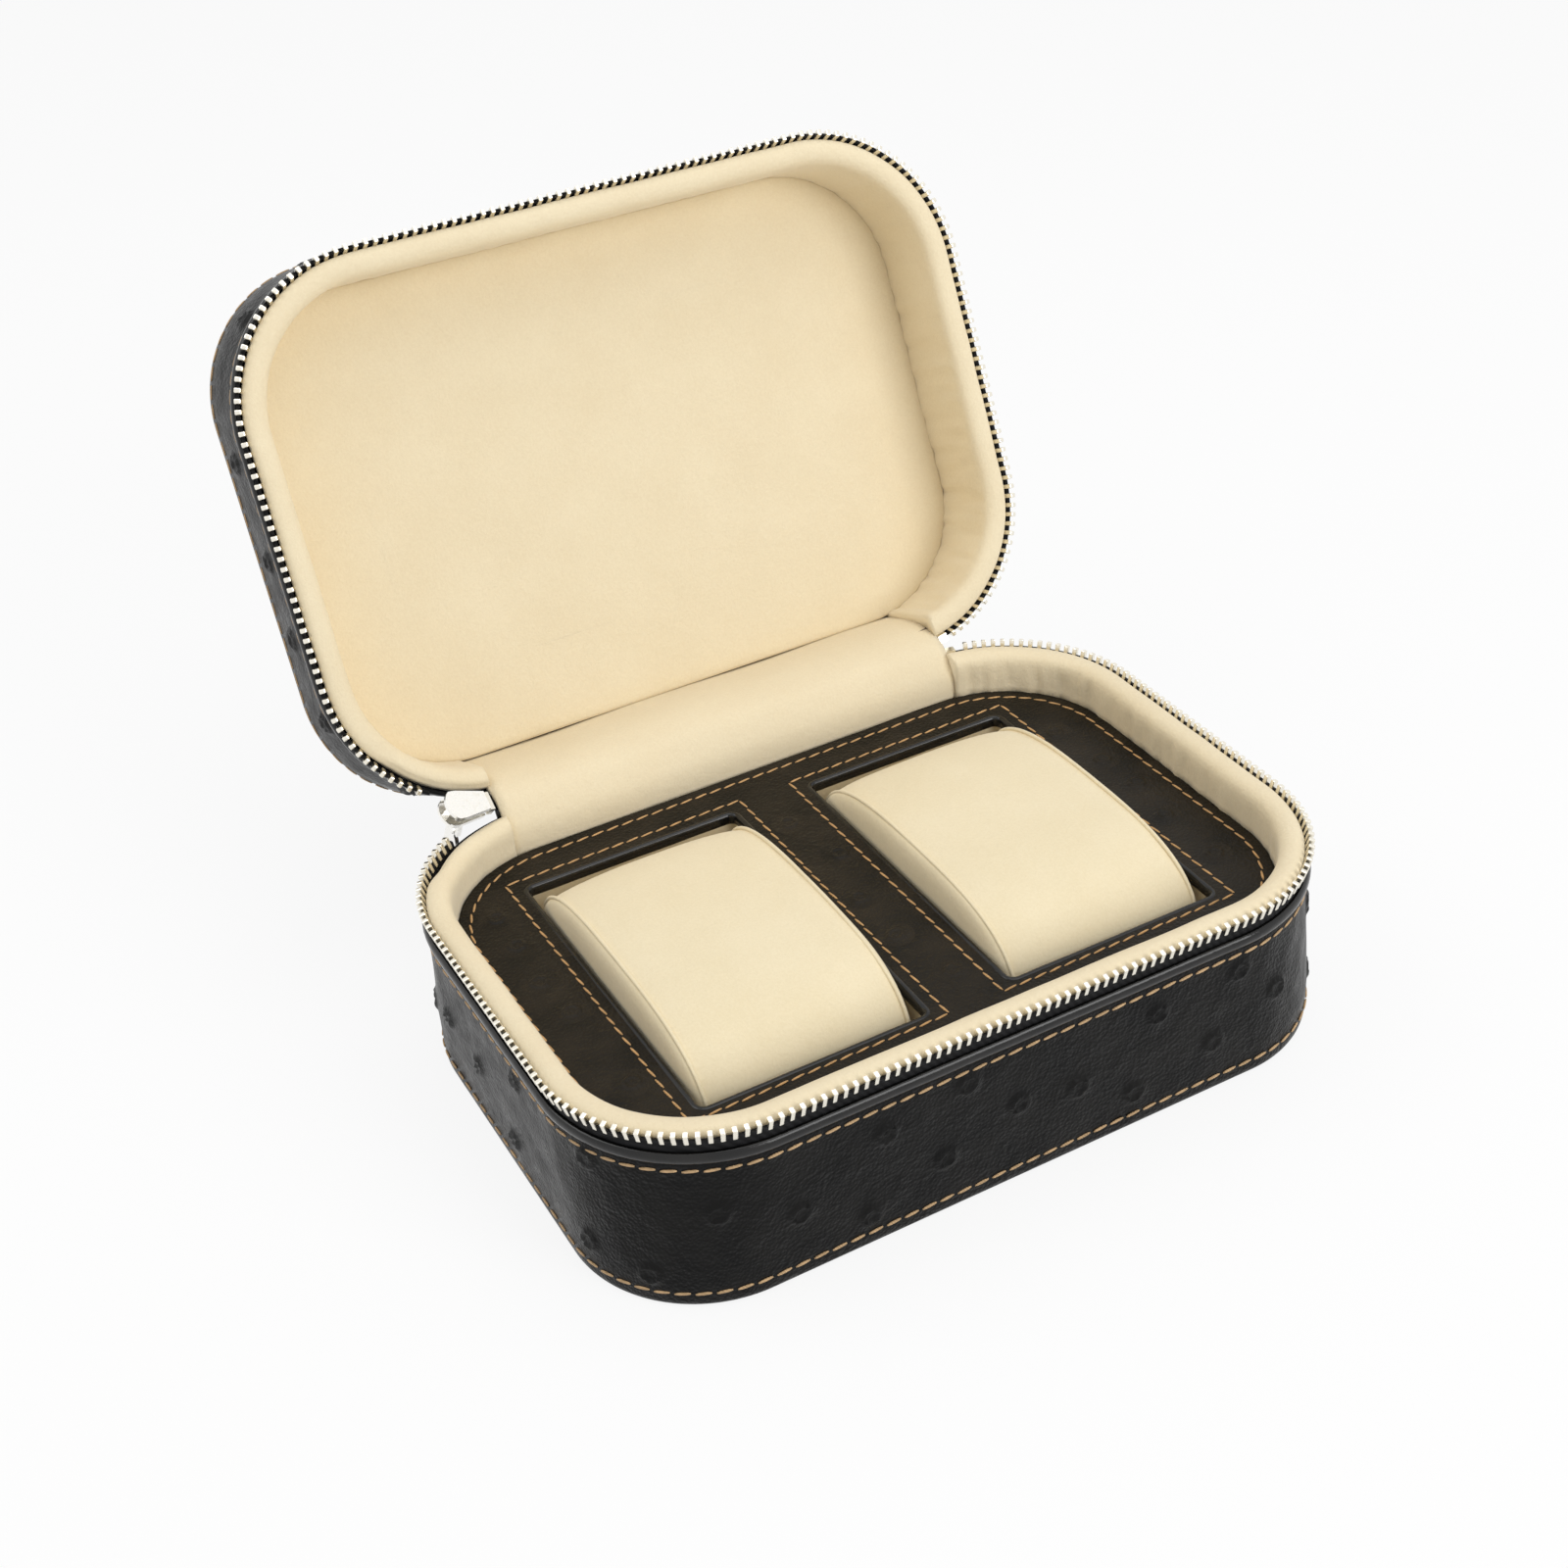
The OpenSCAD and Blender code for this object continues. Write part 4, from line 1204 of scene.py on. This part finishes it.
@dataclass
class Tray:
    """The black leather tray with its two openings, and what is sewn round them."""

    top: float = 37.9
    opening: tuple[float, float, float, float] = (11.4, 68.2, -46.2, 46.8)
    rim_round: float = 0.9
    lip_half: float = 0.95
    lip_tall: float = 1.65
    lip_sunk: float = 1.45
    seam_proud: float = 0.02
    edge_seam_out: float = -10.2
    seam_out: float = 4.2
    front_seam_out: float = 3.0
    quills: Quills = Quills(ring=1.75, ring_width=0.5, height=0.34, swell=0.12, reach=4.6)
    stitches: StitchRows = field(default_factory=lambda: StitchRows(
        pitch=4.2, length=3.4, width=0.62, height=0.42, slant=7.0))

    SIDES: ClassVar[tuple[tuple[int, str], ...]] = ((-1, "left"), (1, "right"))

    def build(self) -> None:
        """Makes the tray's leather with rolled edges, its lips and its stitches."""
        bm = copy_node("tray_leather")
        rims = [e for e in bm.edges if all(self.on_rim(v.co / MM) for v in e.verts)]
        bmesh.ops.bevel(bm, geom=rims, offset=self.rim_round * MM, segments=4, profile=0.5,
                        affect="EDGES", material=-1)
        layer = bm.loops.layers.uv.verify()
        for face in bm.faces:
            for loop in face.loops:
                at = loop.vert.co
                loop[layer].uv = (at.x + TRAY_SHIFT, at.y + at.z)
        piece = add_piece("tray_leather_top", bm, TRAY_LEATHER, IN_METRES, smooth=False)
        settle(piece, "base", "leather_black", "tray_leather")
        patches = self.quills.patches(TRAY_QUILLS, self.top)
        settle(add_piece("tray_quills", patches, TRAY_LEATHER), "base", "leather_black")
        for side, label in self.SIDES:
            self.lip(side, label)
        dress(LINING_CLOTH, "left_well", "right_well")
        dress(BOARD, "tray_board", "tray_collar")
        self.sewing()

    def on_rim(self, at: Vector, slack: float = 0.1) -> bool:
        """Whether a point of the tray's leather lies on the upper edge of an opening."""
        x0, x1, y0, y1 = self.opening
        return (at.z > self.top - slack and x0 - slack < abs(at.x) < x1 + slack
                and y0 - slack < at.y < y1 + slack)

    def lip(self, side: int, label: str) -> None:
        """The glossy rolled lip that lines an opening."""
        x0, x1, y0, y1 = self.opening
        hole = Outline((x1 - x0) / 2, (y1 - y0) / 2, 1.6)
        profile = oval((self.lip_half, self.top - self.lip_sunk), self.lip_half, self.lip_tall,
                       sides=16, power=0.75)
        bm = sweep(profile, spacing=2.0, outline=hole)
        bm.transform(Matrix.Translation((side * (x0 + x1) / 2, (y0 + y1) / 2, 0)))
        ruffle(bm, 0.07, 8.0)
        piece = add_piece(f"{label}_rolled_lip", bm, EDGE_LEATHER)
        settle(piece, "base", "leather_trim", f"{label}_well_lip")

    def sewing(self) -> None:
        """Stitches round the tray's edge and round each opening."""
        level = self.top + self.seam_proud
        rows = {"tray_edge_stitches": self.stitches.round_outline(self.edge_seam_out, level, UP)}
        x0, x1, y0, y1 = self.opening
        for side, label in self.SIDES:
            low, high = sorted((side * (x0 - self.seam_out), side * (x1 + self.seam_out)))
            rows[f"{label}_opening_stitches"] = self.stitches.round_rectangle(
                (low, y0 - self.front_seam_out), (high, y1 + self.seam_out), level)
        for name, places in rows.items():
            settle(self.stitches.row(name, places, THREAD), "base", "leather_black")


@dataclass
class Cushion:
    """A suede cushion: a plump band front to back between two piped end panels."""

    side: int
    label: str
    middle_x: float = 39.8
    middle_y: float = 0.3
    half_width: float = 27.9
    half_depth: float = 46.0
    low: float = 5.1
    belly: float = 19.0
    crown: float = 47.5
    power: float = 3.0
    back_power: float = 2.8
    points: int = 64
    piping_radius: float = 0.48
    piping_in: float = 2.2
    piping_sunk: float = 1.25
    piping_points: int = 96

    # From an end panel's middle over the piped seam to the band, as (distance in from the end,
    # how much smaller the outline is there).
    END: ClassVar[Profile] = ((0.15, 9.0), (0.25, 4.5), (0.9, 2.4), (1.6, 1.5), (2.3, 1.35), (3.0, 1.5),
                              (4.2, 1.1), (6.5, 0.75), (10.0, 0.4), (15.0, 0.15), (21.0, 0.0))

    def band(self, at: Vector, shrink: float) -> Spot:
        """The band's outline in a direction from its middle.

        Args:
            at: the direction, in X and Y.
            shrink: how much smaller the outline is.

        Returns:
            The place, as (y, z) in millimetres.
        """
        reach = (at.x * at.x + at.y * at.y) ** 0.5
        c, s = at.x / reach, at.y / reach
        exponent = 2 / (self.back_power if c > 0 and s > 0 else self.power)
        rise = (self.crown - self.low - self.belly if s > 0 else self.belly) - shrink
        return (self.middle_y + (self.half_depth - shrink) * signed_power(c, exponent),
                self.low + self.belly + rise * signed_power(s, exponent))

    def build(self) -> None:
        """Makes the cushion's cover and its two rows of piping."""
        left = [(inward - self.half_width, shrink) for inward, shrink in self.END]
        stations = left + [(0.0, 0.0)] + [(-x, shrink) for x, shrink in reversed(left)]
        bm = bmesh.new()
        ring = bmesh.ops.create_circle(bm, segments=self.points, radius=1.0)["verts"]
        angles = {v: v.co.copy() for v in ring}
        first, edges = set(ring), bm.edges[:]
        for i, (x, shrink) in enumerate(stations):
            if i:
                fresh, edges = extrude(bm, edges)
                angles.update({v: angles[source(v, ring)] for v in fresh})
                ring = set(fresh)
            for v in ring:
                v.co = (self.side * self.middle_x + x, *self.band(angles[v], shrink))
        for group in (first, ring):
            bmesh.ops.edgeloop_fill(bm, edges=edges_within(bm, group))
        ruffle(bm, 0.35, 17.0)
        cover = add_piece(f"{self.label}_cushion_suede", bm, CUSHION_SUEDE)
        smooth = cover.modifiers.new("smooth", "SUBSURF")
        smooth.levels = smooth.render_levels = 1
        settle(cover, f"{self.label}_cushion", "suede_cream", f"{self.label}_cushion_cover")
        dress(LINING_CLOTH, f"{self.label}_cushion_core")
        for end in (-1, 1):
            self.piping(end)

    def piping(self, end: int) -> None:
        """The fine piped seam between the band and an end panel."""
        curve = bpy.data.curves.new("piping", "CURVE")
        curve.dimensions, curve.bevel_resolution = "3D", 2
        curve.bevel_depth = self.piping_radius * MM
        path = curve.splines.new("POLY")
        path.use_cyclic_u = True
        path.points.add(self.piping_points - 1)
        x = self.side * self.middle_x + end * (self.half_width - self.piping_in)
        for i, point in enumerate(path.points):
            a = 2 * math.pi * i / self.piping_points
            y, z = self.band(Vector((math.cos(a), math.sin(a), 0)), self.piping_sunk)
            point.co = (x * MM, y * MM, z * MM, 1.0)
        shape = link("piping", curve)
        solid = shape.evaluated_get(bpy.context.evaluated_depsgraph_get())
        mesh = bpy.data.meshes.new_from_object(solid)
        bpy.data.objects.remove(shape)
        bm = bmesh.new()
        bm.from_mesh(mesh)
        bpy.data.meshes.remove(mesh)
        name = f"{self.label}_cushion_piping_{'inner' if end * self.side < 0 else 'outer'}"
        settle(add_piece(name, bm, CUSHION_SUEDE, IN_METRES), f"{self.label}_cushion", "suede_cream")


@dataclass
class ZipPull:
    """The slider at the zip's end, with its pull."""

    def build(self) -> None:
        """Dresses the slider's parts."""
        dress(SLIDER_METAL, "slider_body", "slider_bridge", "pull_link", "pull_tab")
        dress(ZIP_METAL, "zip_bottom_stop")


@dataclass
class Studio:
    """A pale floor, soft lights and the photograph's camera, in metres and degrees."""

    lens: float = 52.894
    camera_at: tuple[float, float, float] = (-0.21148, -0.38818, 0.37399)
    camera_turn: tuple[float, float, float] = (55.4791, 3.6666, -28.8401)
    floor_size: float = 6.0
    floor_glow: float = 0.86
    world_light: float = 0.55

    def build(self) -> None:
        """Makes the whole studio."""
        self.camera()
        self.floor()
        self.world()
        self.light("key_softbox", (-0.6, 0.3, 0.8), (0.0, 0.05, 0.05), size=0.6, power=1.8)
        self.light("top_softbox", (0.15, -0.1, 1.1), (0.0, 0.0, 0.0), size=0.8, power=2.6)
        self.light("front_fill", (0.45, -1.05, 0.6), (0.0, 0.0, 0.08), size=0.7, power=7.0)

    def camera(self) -> None:
        """The camera, placed by measuring the photograph against the case."""
        data = bpy.data.cameras.new("photo_camera")
        data.sensor_width, data.lens, data.clip_start = 36.0, self.lens, 0.01
        eye = link("photo_camera", data)
        eye.location = self.camera_at
        eye.rotation_euler = [math.radians(a) for a in self.camera_turn]
        bpy.context.scene.camera = eye

    def light(self, name: str, at: Sequence[float], aim: Sequence[float], size: float,
              power: float) -> None:
        """One square area light, turned to a point.

        Args:
            name: the light's name.
            at: where it hangs.
            aim: the point that it is turned to.
            size: length of its sides.
            power: its power in watts.
        """
        data = bpy.data.lights.new(name, "AREA")
        data.size, data.energy = size, power
        lamp = link(name, data)
        lamp.location = at
        lamp.rotation_euler = (Vector(aim) - Vector(at)).to_track_quat("-Z", "Y").to_euler()

    def floor(self) -> None:
        """A large pale floor that stays white to the camera and keeps the case's shadow."""
        bm = bmesh.new()
        bmesh.ops.create_grid(bm, x_segments=1, y_segments=1, size=self.floor_size)
        sheet = NodeSheet("floor_paper")
        sheet.surface(Base_Color=(0.88, 0.88, 0.88, 1.0), Roughness=0.9)
        glow = sheet.node("Emission", {0: (1.0, 1.0, 1.0, 1.0), 1: 1.0})
        share = sheet.calc("MULTIPLY", sheet.seen(), self.floor_glow)
        mixed = sheet.node("MixShader", {0: share, 1: sheet.skin.outputs[0], 2: glow.outputs[0]})
        sheet.feed(sheet.tree.nodes["Material Output"].inputs[0], mixed.outputs[0])
        floor = link("floor", mesh_of("floor", bm))
        floor.data.materials.append(sheet.material)

    def world(self) -> None:
        """An even pale surround, white to the camera."""
        world = bpy.data.worlds.new("studio")
        bpy.context.scene.world = world
        world.use_nodes = True
        nodes = NodeTree(world.node_tree)
        back = nodes.tree.nodes["Background"]
        nodes.feed(back.inputs[0], (1.0, 1.0, 1.0, 1.0))
        nodes.feed(back.inputs[1], nodes.ramp(nodes.seen(), 0.0, 1.0, self.world_light, 1.0))


# Quills of the base's front and left walls, as (distance round from the front's middle, depth).
WALL_QUILLS = (
    (-196.0, 33.2), (-181.5, 28.2), (-163.5, 30.1), (-145.0, 39.1), (-137.5, 15.5), (-105.0, 14.0),
    (-75.4, 23.6), (-57.1, 31.0), (-40.0, 40.8), (-35.3, 19.0), (-20.5, 33.8), (-14.5, 14.8), (-1.1, 27.2),
    (14.7, 30.0), (30.3, 39.5), (36.3, 18.7), (52.5, 34.3), (59.1, 16.1), (71.2, 27.5))

# Quills of the tray's leather, as (x, y).
TRAY_QUILLS = (
    (-79.4, 40.2), (-79.5, 27.7), (-80.5, 12.0), (-78.5, -1.5), (-77.4, -31.0), (-1.5, 35.2), (2.6, 17.0),
    (-2.2, -1.3), (-2.4, -18.2), (1.7, -36.7), (76.6, 31.8), (79.6, 14.5), (77.9, -14.2), (78.4, -33.7),
    (80.5, 1.0))


def main() -> None:
    """Builds the case, piece by piece, and the studio round it."""
    bpy.context.scene.view_settings.view_transform = "Standard"
    parts = [
        Studio(),
        Shell(Half.BASE, SHAPE.base_height, "base_bottom_leather", lining_foot=13.4, seed=7,
              quills=WALL_QUILLS),
        Shell(Half.LID, SHAPE.lid_height, "lid_top_leather", lining_foot=28.3, seed=11,
              bulge=0.45, outer_seam_out=0.33),
        ZipTeeth(Half.BASE, start=0.0), ZipTeeth(Half.LID, start=0.5),
        Hinge(), CeilingPad(), Tray(),
        Cushion(-1, "left"), Cushion(1, "right"), ZipPull(),
    ]
    for part in parts:
        part.build()
        LOG.info("built %s", type(part).__name__)


if __name__ == "__main__":
    logging.basicConfig(level=logging.INFO)
    main()
